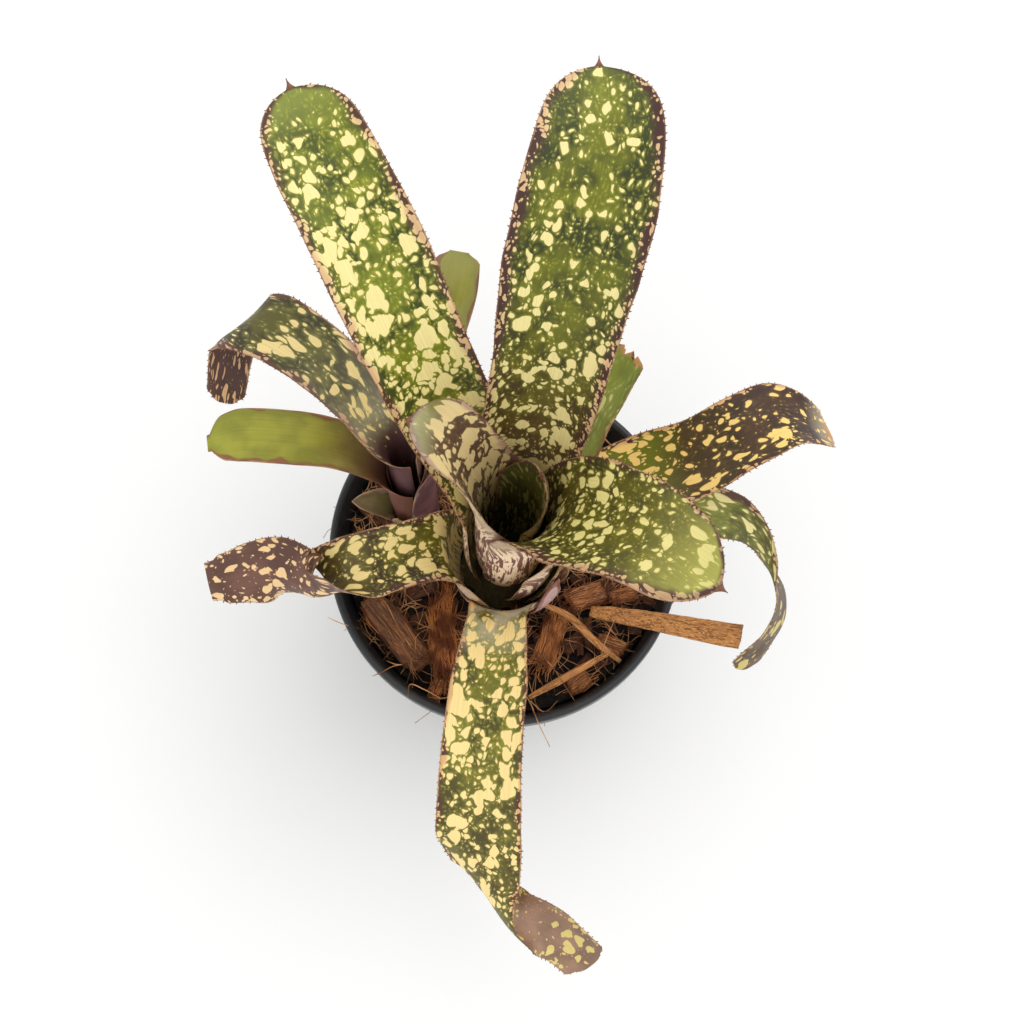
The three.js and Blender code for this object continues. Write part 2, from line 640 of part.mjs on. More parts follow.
// Each stem stands in a plain hole, deep enough for the lower edge of its leaning foot.
function fillSolid() {
  let solid = solidOf(fillGeometry());
  [[mother, motherLeaves], [offset, offsetLeaves]].forEach(([plant, leaves]) => {
    const [x, y, z] = plant.foot;
    const dip = Math.hypot(plant.lean[0], plant.lean[1]) * stemFootRadius(plant, leaves);
    const floor = z - stemDepth - dip - fitGap;
    solid = solid.subtract(solidOf(uprightCylinder(plant.hole, floor, potHeight, x, y, 24)));
  });
  return solid;
}

// A number between -1 and 1 that is fixed by its place in a series
function jitter(k) {
  const wave = Math.sin(12.9898 * k + 4.1) * 43758.5453;
  return 2 * (wave - Math.floor(wave)) - 1;
}

// Joins rings of corners, in order, into one closed solid with a fan over each end.
function loftGeometry(rings) {
  const shell = new Shell();
  const loops = rings.map((ring) => ring.map((p) => shell.corner(p)));
  const middle = (ring) => ring.reduce((sum, p) => sum.add(p), new THREE.Vector3()).divideScalar(ring.length);
  const low = shell.corner(middle(rings[0]));
  const high = shell.corner(middle(rings[rings.length - 1]));
  const last = loops[loops.length - 1];
  last.forEach((_, k) => {
    const next = (k + 1) % last.length;
    shell.triangle(loops[0][next], loops[0][k], low);
    loops.slice(1).forEach((loop, i) => shell.quad(loops[i][k], loops[i][next], loop[next], loop[k]));
    shell.triangle(last[k], last[next], high);
  });
  return shell.geometry();
}

// A split chip: a rough eight-sided outline, narrower below and above its middle, laid with a tilt.
function chipMesh(chip, index, ground) {
  const [length, width, thick] = chip.size;
  const turn = THREE.MathUtils.degToRad(chip.turn);
  const slope = Math.tan(THREE.MathUtils.degToRad(chip.tilt));
  const corners = 8;
  const levels = [[0, 0.84], [0.45, 1], [1, 0.8]];
  const rings = levels.map(([lift, scale], level) => Array.from({ length: corners }, (_, k) => {
    const angle = (2 * Math.PI * (k + 0.5)) / corners;
    const rough = 1 + 0.13 * jitter(31 * index + k) + 0.05 * jitter(17 * index + 5 * level + k);
    const along = 0.54 * length * scale * rough * Math.sign(Math.cos(angle)) * Math.abs(Math.cos(angle)) ** 0.5;
    const across = 0.54 * width * scale * rough * Math.sign(Math.sin(angle)) * Math.abs(Math.sin(angle)) ** 0.5;
    const x = chip.at[0] + along * Math.cos(turn) - across * Math.sin(turn);
    const y = chip.at[1] + along * Math.sin(turn) + across * Math.cos(turn);
    const bump = level === 2 ? 0.12 * thick * jitter(7 * index + k) : 0;
    return new THREE.Vector3(x, y, thick * lift + slope * along + bump);
  }));
  const above = fillTop + 6;
  rings.flat().forEach((p) => p.setZ(p.z + above));
  return meshOf(chip.name, seated(loftGeometry(rings), ground), "bark");
}

// Lowers a piece on to the ground until fitGap is left between them.
function seated(geometry, ground) {
  const reach = 20;
  let piece = solidOf(geometry);
  let gap = piece.minGap(ground, reach);
  while (gap > fitGap * 1.01) {
    piece = piece.translate(0, 0, fitGap - gap);
    gap = piece.minGap(ground, reach);
  }
  return geometryOf(piece);
}

function stickMesh(ground) {
  const sides = 6;
  const rings = stickRows.map(([x, y, z, width, thick], i) => Array.from({ length: sides }, (_, k) => {
    const angle = (2 * Math.PI * (k + 0.5)) / sides;
    const rough = 1 + 0.1 * jitter(13 * i + k);
    const across = 0.56 * width * rough * Math.cos(angle);
    return new THREE.Vector3(x + 0.22 * across, y + 0.97 * across, z + 0.56 * thick * Math.sin(angle));
  }));
  return meshOf("bark_stick", seated(loftGeometry(rings), ground), "bark");
}

const potBody = potSolid();
const fillBody = fillSolid();
const plantAndPot = new THREE.Group();
plantAndPot.add(meshOf("pot", geometryOf(potBody), "plastic"));
plantAndPot.add(meshOf("growing_medium", geometryOf(fillBody), "filling"));
chips.forEach((chip, index) => plantAndPot.add(chipMesh(chip, index, fillBody)));
plantAndPot.add(stickMesh(potBody.add(fillBody)));
plantAndPot.add(plantGroup(mother, motherLeaves, "stem"));
plantAndPot.add(plantGroup(offset, offsetLeaves, "pup_stem"));

export default plantAndPot;
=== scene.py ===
import math
import bmesh
import bpy
import numpy as np
from mathutils import Matrix, Vector, noise


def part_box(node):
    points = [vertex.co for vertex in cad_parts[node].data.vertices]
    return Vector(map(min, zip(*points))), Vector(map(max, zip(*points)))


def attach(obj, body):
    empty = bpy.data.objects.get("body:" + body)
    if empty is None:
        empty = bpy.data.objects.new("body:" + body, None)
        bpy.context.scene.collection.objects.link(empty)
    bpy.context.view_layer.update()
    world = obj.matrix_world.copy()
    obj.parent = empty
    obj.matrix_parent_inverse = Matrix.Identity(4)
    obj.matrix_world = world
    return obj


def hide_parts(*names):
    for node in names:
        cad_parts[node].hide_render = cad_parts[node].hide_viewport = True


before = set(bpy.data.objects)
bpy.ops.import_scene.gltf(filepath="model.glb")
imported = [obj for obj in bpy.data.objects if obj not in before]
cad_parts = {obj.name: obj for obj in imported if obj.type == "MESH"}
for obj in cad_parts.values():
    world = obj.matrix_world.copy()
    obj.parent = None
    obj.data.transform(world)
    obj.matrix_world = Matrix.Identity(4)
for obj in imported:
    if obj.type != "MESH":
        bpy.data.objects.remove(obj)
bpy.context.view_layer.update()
mm = 0.001
root = "root"
print("frame loaded,", len(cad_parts), "nodes")

# small helpers

def tint(red, green, blue):
    # a screen colour, 0 to 255, as the linear colour that the shader wants
    steps = [c / 255 for c in (red, green, blue)]
    return [c / 12.92 if c < 0.04045 else ((c + 0.055) / 1.055) ** 2.4 for c in steps] + [1.0]


def newObject(name, mesh):
    made = bpy.data.objects.new(name, mesh)
    bpy.context.collection.objects.link(made)
    return made


def meshFrom(name, corners, faces, smooth=True):
    mesh = bpy.data.meshes.new(name)
    mesh.from_pydata([tuple(c) for c in corners], [], [tuple(f) for f in faces])
    mesh.validate()
    work = bmesh.new()
    work.from_mesh(mesh)
    bmesh.ops.recalc_face_normals(work, faces=work.faces)
    work.to_mesh(mesh)
    work.free()
    mesh.polygons.foreach_set("use_smooth", [smooth] * len(mesh.polygons))
    return mesh


def ringFaces(rings, sides):
    # the quads between successive rings of a closed tube, then its two caps
    faces = []
    for i in range(rings - 1):
        for k in range(sides):
            a, b = i * sides + k, i * sides + (k + 1) % sides
            faces.append((a, b, b + sides, a + sides))
    return faces + [tuple(range(sides))[::-1], tuple(range((rings - 1) * sides, rings * sides))]


def keepVector(mesh, name, values):
    layer = mesh.attributes.new(name, "FLOAT_VECTOR", "POINT")
    layer.data.foreach_set("vector", np.asarray(values, dtype=np.float32).ravel())


def finishPiece(made, slotName, *nodes):
    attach(made, root)
    if nodes:
        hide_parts(*nodes)


def circle(count):
    # cosine and sine at each step of one turn
    turns = [2 * math.pi * k / count for k in range(count)]
    return [(math.cos(turn), math.sin(turn)) for turn in turns]


# node helpers

class Tree:
    # a node tree, with short calls for the nodes used most

    def __init__(self, tree):
        self.tree = tree

    def put(self, socket, value):
        if isinstance(value, bpy.types.NodeSocket):
            self.tree.links.new(value, socket)
        else:
            socket.default_value = value

    def node(self, kind, inputs=None, **settings):
        made = self.tree.nodes.new(kind)
        for key, value in settings.items():
            setattr(made, key, value)
        for key, value in (inputs or {}).items():
            self.put(made.inputs[key], value)
        return made

    def first(self, kind, inputs=None, **settings):
        return self.node(kind, inputs, **settings).outputs[0]

    def maths(self, operation, a, b=0.0, clamp=False):
        return self.first("ShaderNodeMath", {0: a, 1: b}, operation=operation, use_clamp=clamp)

    def plus(self, a, b):
        return self.maths("ADD", a, b)

    def minus(self, a, b):
        return self.maths("SUBTRACT", a, b)

    def times(self, a, b):
        return self.maths("MULTIPLY", a, b)

    def vector(self, operation, a, b):
        return self.first("ShaderNodeVectorMath", {0: a, 1: b}, operation=operation)

    def triple(self, x, y, z):
        return self.first("ShaderNodeCombineXYZ", {0: x, 1: y, 2: z})


class Skin(Tree):
    # one material

    def __init__(self, name, roughness=0.5, dimensions="3D"):
        self.dimensions = dimensions
        self.material = bpy.data.materials.new(name)
        self.material.use_nodes = True
        super().__init__(self.material.node_tree)
        self.shader = self.tree.nodes["Principled BSDF"]
        self.shader.inputs["Roughness"].default_value = roughness

    def ramp(self, value, low, high, start=0.0, end=1.0, smooth=True):
        kind = "SMOOTHSTEP" if smooth else "LINEAR"
        sockets = {"Value": value, "From Min": low, "From Max": high, "To Min": start, "To Max": end}
        return self.first("ShaderNodeMapRange", sockets, interpolation_type=kind)

    def mix(self, share, first, second, blend="MIX"):
        made = self.node("ShaderNodeMix", data_type="RGBA", blend_type=blend)
        self.put(made.inputs[0], share)
        self.put(made.inputs[6], first)
        self.put(made.inputs[7], second)
        return made.outputs[2]

    def here(self):
        return self.node("ShaderNodeTexCoord").outputs["Object"]

    def attribute(self, name):
        return self.node("ShaderNodeAttribute", attribute_name=name).outputs["Vector"]

    def split(self, vector):
        return self.node("ShaderNodeSeparateXYZ", {0: vector}).outputs

    def noise(self, vector, scale, detail=2.0, roughness=0.5):
        sockets = {"Vector": vector, "Scale": scale, "Detail": detail, "Roughness": roughness}
        return self.node("ShaderNodeTexNoise", sockets, noise_dimensions=self.dimensions).outputs

    def cells(self, vector, scale, smoothness):
        sockets = {"Vector": vector, "Scale": scale, "Randomness": 0.95, "Smoothness": smoothness}
        return self.node(
            "ShaderNodeTexVoronoi", sockets, voronoi_dimensions=self.dimensions, feature="SMOOTH_F1").outputs

    def bump(self, height, strength, distance):
        sockets = {"Height": height, "Strength": strength, "Distance": distance}
        self.put(self.shader.inputs["Normal"], self.first("ShaderNodeBump", sockets))

    def colour(self, value):
        self.put(self.shader.inputs["Base Color"], value)


# the plants: where each stands, how it leans, and the inner radius of its cup at each height, in mm
leafThickness = 0.7
shellPitch = 1.2

mother = {
    "foot": (0, -3, 80), "firstLeafFoot": 12, "lean": (0.027, 0.041, 1),
    "cup": ((0, 3.4), (8, 5.2), (22, 7.8), (40, 8.6), (70, 8.8), (95, 9.6), (120, 11)),
}
pup = {
    "foot": (-28, 10, 80), "firstLeafFoot": 4, "lean": (-0.06, 0.21, 1),
    "cup": ((0, 2.2), (10, 3.2), (30, 4), (60, 4.6)),
}

# shell counts the nested bases from the middle out; wrap is how far round a base reaches each way, in
# degrees, at its foot and where it leaves the cup at height rise; tip is the length that narrows to the end
# rounded: how that end closes, (2, 0.5) being a half ellipse and less more pointed; blunt: its least width
# smooth leaves have no spines, a square end keeps its corners, a ragged one is torn, and the spots are
# drawn out past slimFrom
# blade rows as in the frame, in mm and degrees: reach, height, sideways shift, half width, channel
# radius, twist; tones: place along the leaf (-1 foot, 0 where it leaves the cup, 1 tip), spot cover,
# purple, fresh green, pale; zeros at the end of a row are left out
leafYoungest = {
    "node": "leaf_youngest", "shell": 0, "azimuth": 20, "rise": 90, "wrap": (110, 95), "tip": 8,
    "look": "young", "seed": 3.1,
    "blade": ((10, 98, 0, 11, 11), (10, 104, 0.2, 9, 11), (8.8, 108.5, 0.4, 7, 12)),
    "tones": ((-1, 0.5, 0.2), (0, 0.5, 0.2, 0.2), (1, 0.4, 0.6)),
}
leafInnerLeft = {
    "node": "leaf_inner_left", "rounded": (1.9, 0.58), "shell": 1, "azimuth": 160, "rise": 88,
    "wrap": (112, 106), "tip": 14, "look": "cup", "seed": 11.7,
    "blade": (
        (13, 102, 0, 15.4, 11.5), (15.6, 118, 0.2, 13.4, 11.5), (20, 136, 1.2, 12.8, 12),
        (25, 148, 2, 12, 14), (30, 153, 3, 10.5, 16)),
    "tones": (
        (-1, 0.5, 0.7, 0, 0.4), (-0.1, 0.68, 0.75, 0, 0.1), (0.35, 0.76, 0.8), (0.8, 0.76, 0.6, 0.1),
        (1, 0.3, 0.2, 0.9, 0.3)),
}
leafRightBroad = {
    "node": "leaf_right_broad", "rounded": (1.9, 0.58), "shell": 2, "azimuth": 325, "rise": 80,
    "wrap": (105, 88), "tip": 15, "look": "broad", "seed": 21.3,
    "blade": (
        (15, 100, 0, 18.5, 14), (20, 118, 0, 19, 20), (27, 132, -0.8, 19.3, 28), (42, 158, -1.9, 15.6, 36),
        (54, 172.5, -4.8, 13.2, 45), (66, 177, -6, 11.2, 50)),
    "tones": (
        (-1, 0.55, 0.3, 0, 0.8), (-0.3, 0.6, 0.5, 0, 0.4), (0, 0.6, 0.2), (0.4, 0.56), (0.7, 0.52, 0, 0.1),
        (0.88, 0.5, 0, 0.5), (1, 0.46, 0, 0.9)),
}
leafBack = {
    "node": "leaf_back", "rounded": (2.6, 0.48), "shell": 3, "azimuth": 78, "rise": 76, "wrap": (100, 80),
    "tip": 21, "look": "back", "seed": 37.9,
    "blade": (
        (16, 92, -1, 18, 15), (22, 106, -2, 17.8, 18), (36, 131, -3.2, 18, 26), (55, 149, -3.4, 20.2, 36),
        (72, 159.5, -4.2, 20.2, 42), (92, 164.5, -3.4, 17.8, 48), (107.8, 164, 0.4, 16, 50)),
    "tones": (
        (-1, 0.5, 0.7, 0, 0.5), (0, 0.66, 0.9, 0, 0.15), (0.2, 0.62, 0.75), (0.42, 0.52, 0.2), (0.6, 0.46),
        (0.85, 0.4), (1, 0.5, 0, 0.2)),
}
leafBackLeft = {
    "node": "leaf_back_left", "rounded": (2.5, 0.5), "shell": 4, "azimuth": 122, "rise": 72,
    "wrap": (100, 78), "tip": 17, "look": "bright", "seed": 48.2,
    "blade": (
        (18.6, 88, 1.5, 16, 16), (27, 103, 4, 15.5, 19), (44, 131, 6, 15.5, 28), (69, 149.5, 4.5, 16.2, 38),
        (94, 157, 2.8, 15.3, 45), (118.5, 158.5, 0, 13.6, 50)),
    "tones": (
        (-1, 0.5, 0.5, 0, 0.5), (0, 0.66, 0.3), (0.2, 0.68, 0.1), (0.5, 0.64), (0.72, 0.57),
        (0.9, 0.54, 0, 0.1), (0.97, 0.34, 0, 0.6), (1, 0.24, 0, 0.6)),
}
leafBackCut = {
    "node": "leaf_back_cut", "shell": 5, "azimuth": 50, "rise": 60, "wrap": (80, 55), "tip": 1.5,
    "blunt": 0.45, "ragged": True, "square": True, "look": "cut", "seed": 53.4,
    "blade": (
        (20, 72, 0, 14, 15), (29, 82, -0.7, 11, 12), (39, 90.5, 0.5, 9.5, 10), (48, 97, 1, 8, 9),
        (55, 101, 1.5, 7, 9)),
    "tones": ((-1, 0.5, 0.2, 0, 0.5), (0, 0.5, 0, 0, 0.1), (1, 0.46, 0, 0.2)),
}
leafRightDark = {
    "node": "leaf_right_dark", "shell": 6, "azimuth": 8, "rise": 52, "wrap": (102, 80), "tip": 3,
    "blunt": 0.75, "look": "dark", "seed": 66.6,
    "blade": (
        (20, 62, 1, 15, 17), (30, 68, 3.8, 13.8, 20), (42, 73.5, 6.8, 13.2, 26), (57, 84, 7, 13.2, 34),
        (72, 89.5, 12, 13, 40), (83, 87.5, 15.6, 12.6, 36), (90.5, 83, 15, 11, 26),
        (95.5, 78.5, 13.2, 9, 20), (99.6, 75, 12, 6.6, 18)),
    "tones": (
        (-1, 0.5, 0.2, 0.2, 0.7), (-0.1, 0.56, 0, 0.5, 0.2), (0.15, 0.62, 0, 1), (0.38, 0.72, 0, 1),
        (0.5, 0.52, 0, 0.15), (0.9, 0.46), (1, 0.4, 0, 0, 0.5)),
}
leafRightTwisted = {
    "node": "leaf_right_twisted", "shell": 8, "azimuth": 8, "rise": 38, "wrap": (75, 50), "tip": 4,
    "blunt": 0.7, "look": "narrow", "seed": 71.8,
    "blade": (
        (21, 47, 0, 13, 18), (33, 56, 1.5, 10, 24), (44, 61.5, 2, 9.3, 30), (57, 64.5, -3, 8.4, 30, 8),
        (68, 65, -7.5, 7.4, 30, 22), (73.6, 63, -12.5, 6.2, 30, 52), (76.6, 59, -18, 5.4, 30, 78),
        (78.5, 52, -23.4, 6, 30, 110), (81.4, 44, -28.4, 7, 30, 134), (82, 37, -33, 7.6, 30, 150),
        (79.6, 28, -38.4, 7.4, 30, 168), (74.6, 20, -43, 7.4, 30, 182), (70, 14.5, -46.4, 7, 30, 190)),
    "tones": (
        (-1, 0.5, 0.2, 0, 0.6), (0, 0.56, 0, 0.3, 0.1), (0.5, 0.54, 0.1), (0.8, 0.5, 0.8), (1, 0.5, 1)),
}
leafLeftRolled = {
    "node": "leaf_left_rolled", "shell": 9, "azimuth": 190, "rise": 28, "wrap": (82, 60), "tip": 5,
    "blunt": 0.85, "square": True, "look": "rolled", "seed": 84.5,
    "blade": (
        (21, 38, -0.5, 14, 18), (26, 45, 0, 11.6, 16), (34, 51, 1.8, 10.8, 16), (44, 55.5, 4, 11.2, 19),
        (50, 56, 6, 13, 12, 18), (54, 55, 8.2, 16.5, 8.4, 48), (58, 53.7, 10.4, 18, 6.8, 84),
        (62.5, 52.5, 10, 16, 7, 112), (67.5, 51.5, 5.8, 14.4, 9.5, 138), (73, 51, 1, 12.4, 18, 164),
        (79.5, 50, -0.8, 10, 25, 180), (86, 48, -1, 8.4, 30, 183), (94, 46, -1.2, 7.2, 30, 183)),
    "tones": (
        (-1, 0.5, 0.4, 0, 0.8), (-0.1, 0.6, 0.3, 0, 0.3), (0.12, 0.63), (0.35, 0.6), (0.5, 0.54, 0.5),
        (0.8, 0.56, 0.7), (1, 0.46, 0.9)),
}
leafFront = {
    "node": "leaf_front", "shell": 10, "azimuth": 268, "rise": 18, "wrap": (80, 40), "tip": 3.5,
    "blunt": 0.72, "look": "front", "seed": 95.2,
    "blade": (
        (20.5, 27, -1, 11, 18), (25, 33, -2, 10, 16), (34, 37, -3, 11, 22), (46, 39.5, -4, 12.5, 30),
        (70, 40, -5.5, 13, 40), (89, 30.2, -5.4, 13.8, 40), (95.5, 26, -5, 13.5, -100, 8),
        (102, 21, -4, 13.2, -40, 22), (108, 16.5, -2.4, 12.6, -17, 46), (113, 13, 1.4, 11.6, -9, 78),
        (115.6, 10.5, 6.8, 10.6, -8, 112), (117.2, 8, 15.2, 9.2, -11, 146), (121, 5, 22.8, 8.6, -20, 170),
        (128.4, 1, 32, 8.4, -30, 178)),
    "tones": (
        (-1, 0.5, 0.1, 0, 1), (0.08, 0.5, 0, 0, 1), (0.14, 0.6, 0, 0, 0.5), (0.2, 0.68), (0.4, 0.64),
        (0.52, 0.6, 0.3), (0.7, 0.56, 0.5), (1, 0.3, 0.4, 0.5)),
}
scaleLilac = {
    "node": "scale_lilac", "shell": 11, "azimuth": 312, "rise": 18, "wrap": (22, 16), "tip": 6,
    "smooth": True, "look": "papery", "seed": 101.0,
    "blade": ((20.8, 26, 0, 5, 20), (19.9, 33, 1.5, 3.4, 20), (19.9, 39, 3, 2.4, 20)),
    "tones": ((-1, 0.4), (1, 0.5)),
}
scaleBrown = {
    "node": "scale_brown", "shell": 11, "azimuth": 347, "rise": 14, "wrap": (11, 9), "tip": 4,
    "smooth": True, "look": "papery", "seed": 107.0,
    "blade": ((20.8, 22, 0, 2.6, 20), (20.6, 28, 1, 1.6, 20)),
    "tones": ((-1, 0.4, 0.5), (1, 0.4, 0.7)),
}

pupArching = {
    "node": "pup_leaf_arching", "slimFrom": 0.66, "shell": 0, "azimuth": 135, "rise": 60,
    "wrap": (168, 166), "tip": 4, "blunt": 0.75, "look": "arching", "seed": 113.3,
    "blade": (
        (5.8, 66, 1, 11.2, 5.8), (7.4, 72, 2.4, 8, 7.6), (10.4, 77.5, 3, 7.6, 10), (16, 82.8, 2.3, 9.4, 16),
        (27, 88, 2.2, 10.5, 28), (38, 90, 3.8, 11, 34), (46, 91, 5.6, 11.2, 80),
        (52, 90, 7.8, 11.2, -50, 6), (56, 86.5, 10.5, 10.4, -20, 30), (58, 81.5, 13, 9.2, -10, 60),
        (58.2, 76, 15.2, 7.6, -10, 82), (56, 72, 19, 6.8, -16, 93), (53.2, 68, 23.3, 6.2, -25, 95),
        (51.2, 64, 27.4, 6, -30, 95)),
    "tones": (
        (-1, 0, 1), (0, 0, 1), (0.06, 0.3, 0.8), (0.16, 0.56, 0.1, 0, 0.3), (0.3, 0.54, 0, 0, 0.1),
        (0.55, 0.48), (0.75, 0.46, 0.2), (1, 0.44, 1)),
}
pupBack = {
    "node": "pup_leaf_back", "shell": 1, "azimuth": 75, "rise": 44, "wrap": (150, 130), "tip": 3,
    "smooth": True, "look": "olive", "seed": 127.1,
    "blade": (
        (6.6, 52, 0, 7.2, 6.6), (7.4, 60, -0.6, 6.4, 7.4), (8.6, 69, -2.4, 6.4, 9),
        (11.2, 79, -4.2, 6.6, 11), (15.5, 88, -6, 7.3, 13), (24.3, 101.5, -9, 8, 18),
        (34, 111.5, -11.2, 7.3, 22), (43.5, 116.5, -10.8, 6.5, 24)),
    "tones": ((-1, 0.1, 1), (0, 0.1, 0.9), (0.35, 0.2, 0.1), (1, 0.2, 0, 0.5, 0.15)),
}
pupLeft = {
    "node": "pup_leaf_left", "shell": 2, "azimuth": 172, "rise": 42, "wrap": (118, 112), "tip": 6,
    "smooth": True, "look": "olive", "seed": 131.9,
    "blade": (
        (8.6, 51, 0.8, 8.6, 9), (11, 60, 2.2, 8.4, 11), (14.5, 68, 4, 8.2, 15), (21, 73, 4.8, 8.2, 20),
        (29, 75.2, 5.5, 8.7, 26), (48, 73.6, 5.8, 8.5, 30), (58, 70.5, 8.2, 6, 30)),
    "tones": ((-1, 0.1, 1), (0.12, 0.1, 1), (0.36, 0.3, 0.6), (0.55, 0.34, 0.05), (1, 0.25, 0, 0.2)),
}
pupSheathRight = {
    "node": "pup_sheath_right", "shell": 3, "azimuth": 325, "rise": 37, "wrap": (74, 46), "tip": 8,
    "smooth": True, "blunt": 0.15, "look": "sheath", "seed": 137.7,
    "blade": ((8.6, 46, 0.8, 5.4, 8), (9.4, 55, 2.4, 3.6, 9)),
    "tones": ((-1, 0.2), (1, 0.2)),
}
pupScaleLeft = {
    "node": "pup_scale_left", "shell": 3, "azimuth": 182, "rise": 17, "wrap": (42, 38), "tip": 12,
    "smooth": True, "blunt": 0.15, "look": "scale", "seed": 141.1,
    "blade": ((9.8, 22, 0.4, 5.6, 9), (12.8, 26.5, 1.4, 5.2, 10), (19, 30, 2, 4.4, 12)),
    "tones": ((-1, 0.2, 0.3), (1, 0.2, 0.1)),
}
pupScaleFront = {
    "node": "pup_scale_front", "shell": 4, "azimuth": 247, "rise": 17, "wrap": (28, 25), "tip": 8,
    "smooth": True, "blunt": 0.15, "look": "scale", "seed": 149.3,
    "blade": ((9.3, 23, 0, 3.9, 9), (10, 30, -0.4, 3.2, 9)),
    "tones": ((-1, 0.2, 0.2), (1, 0.2, 0, 0.2)),
}
pupScaleRight = {
    "node": "pup_scale_right", "shell": 4, "azimuth": 334, "rise": 14, "wrap": (34, 28), "tip": 4,
    "smooth": True, "look": "sheath", "seed": 151.9,
    "blade": ((9.3, 18, 0, 3.6, 9), (9.6, 22, 0, 2.4, 9)),
    "tones": ((-1, 0.2), (1, 0.2)),
}

motherLeaves = (
    leafYoungest, leafInnerLeft, leafRightBroad, leafBack, leafBackLeft, leafBackCut, leafRightDark,
    leafRightTwisted, leafLeftRolled, leafFront, scaleLilac, scaleBrown)
pupLeaves = (pupArching, pupBack, pupLeft, pupSheathRight, pupScaleLeft, pupScaleFront, pupScaleRight)


# leaf surfaces

# how a blade is swept from its rows: rows of the base, points between rows, and rows crowding at the tip
sweep = {
    "shellDrop": 1.1, "rowGap": 9, "perPart": 40, "turnRows": 2, "tipRows": 16, "shortTipRows": 4,
    "shortTip": 3, "tipCrowding": 1.7, "leastRows": 12, "flatBend": 1e-4,
}
leafEnd = {
    "pointed": (1.6, 0.62), "least": 0.1, "leastSmooth": 0.45, "cornerRound": 3, "cornerWidth": 0.3,
}


def smoothStep(x):
    return x * x * (3 - 2 * x)


def fullRows(rows, count):
    return [tuple(row) + (0,) * (count - len(row)) for row in rows]


def leafRows(plant, leaf):
    foot = plant["firstLeafFoot"] - sweep["shellDrop"] * leaf["shell"]
    steps = max(2, int((leaf["rise"] - foot) / sweep["rowGap"] + 0.5))
    heights, radii = zip(*plant["cup"])
    rows = []
    for i in range(steps + 1):
        share = i / steps
        height = foot + (leaf["rise"] - foot) * share
        radius = np.interp(height, heights, radii) + leafThickness / 2 + shellPitch * leaf["shell"]
        wrap = math.radians(leaf["wrap"][0] + (leaf["wrap"][1] - leaf["wrap"][0]) * share)
        rows.append((radius, height, 0, radius * wrap, radius, 0))
    return np.array(rows + fullRows(leaf["blade"], 6), float), steps


def pathThrough(points, perPart):
    # a smooth path through the points, as places and directions
    ends = np.vstack([2 * points[0] - points[1], points, 2 * points[-1] - points[-2]])
    places, directions = [], []
    for i in range(1, len(ends) - 2):
        a, b, c, d = ends[i - 1:i + 3]
        ab, bc, cd = [np.linalg.norm(q - p) ** 0.5 for p, q in ((a, b), (b, c), (c, d))]
        leave = ((b - a) / ab - (c - a) / (ab + bc) + (c - b) / bc) * bc
        arrive = ((c - b) / bc - (d - b) / (bc + cd) + (d - c) / cd) * bc
        last = i == len(ends) - 3
        t = np.linspace(0, 1, perPart + (1 if last else 0), endpoint=last)[:, None]
        c2 = -3 * b + 3 * c - 2 * leave - arrive
        c3 = 2 * b - 2 * c + leave + arrive
        places.append(b + leave * t + c2 * t ** 2 + c3 * t ** 3)
        directions.append(leave + 2 * c2 * t + 3 * c3 * t ** 2)
    places, directions = np.vstack(places), np.vstack(directions)
    return places, directions / np.linalg.norm(directions, axis=1, keepdims=True)


def leafSections(plant, leaf):
    rows, steps = leafRows(plant, leaf)
    centre, along = pathThrough(rows[:, [0, 2, 1]], sweep["perPart"])
    t = np.linspace(0, len(rows) - 1, len(centre))
    between = lambda values: np.interp(t, np.arange(len(rows)), values)
    width = np.array((0.0, 1.0, 0.0))
    widths, inwards = [], []
    for i, tangent in enumerate(along):
        if t[i] > steps:
            width = width - tangent * width.dot(tangent)
            width = width / np.linalg.norm(width)
        carried = np.cross(width, tangent)
        blend = smoothStep(min(max((t[i] - steps) / sweep["turnRows"], 0), 1))
        inward = np.array((-1.0, 0, 0)) * (1 - blend) - carried / np.linalg.norm(carried) * blend
        widths.append(width)
        inwards.append(inward / np.linalg.norm(inward))
    length = np.concatenate([[0], np.cumsum(np.linalg.norm(np.diff(centre, axis=0), axis=1))])
    return {
        "centre": centre, "along": along, "width": np.array(widths), "inward": np.array(inwards),
        "length": length, "half": between(rows[:, 3]), "bend": between(1 / rows[:, 4]),
        "twist": np.radians(between(rows[:, 5])), "riseLength": length[steps * sweep["perPart"]],
    }


def stationsOf(leaf, s, cell, turnCell):
    total = s["length"][-1]
    body = s["length"] < total - leaf["tip"]
    turn = np.arccos(np.clip((s["along"][1:] * s["along"][:-1]).sum(1), -1, 1)) + np.abs(np.diff(s["twist"]))
    cost = np.concatenate([[0], np.cumsum(np.diff(s["length"]) / cell + turn / turnCell)])[body]
    even = np.linspace(0, cost[-1], max(sweep["leastRows"], int(cost[-1])))
    inBody = np.interp(even, cost, s["length"][body])
    tipRows = sweep["tipRows"] if leaf["tip"] > sweep["shortTip"] else sweep["shortTipRows"]
    k = np.arange(1, tipRows + 1) / tipRows
    inTip = total - leaf["tip"] * (1 - k) ** sweep["tipCrowding"]
    return np.concatenate([inBody[:-1], [total - leaf["tip"]], inTip])


def placeLeaf(plant, leaf, points):
    # from the leaf's own frame to the object's frame, in metres
    lean = Vector((0, 0, 1)).rotation_difference(Vector(plant["lean"]).normalized()).to_matrix()
    turn = np.array(lean @ Matrix.Rotation(math.radians(leaf["azimuth"]), 3, "Z"))
    return (points @ turn.T + np.array(plant["foot"])) * mm


def turnLeaf(plant, leaf, vectors):
    return (placeLeaf(plant, leaf, vectors) - placeLeaf(plant, leaf, vectors * 0)) / mm


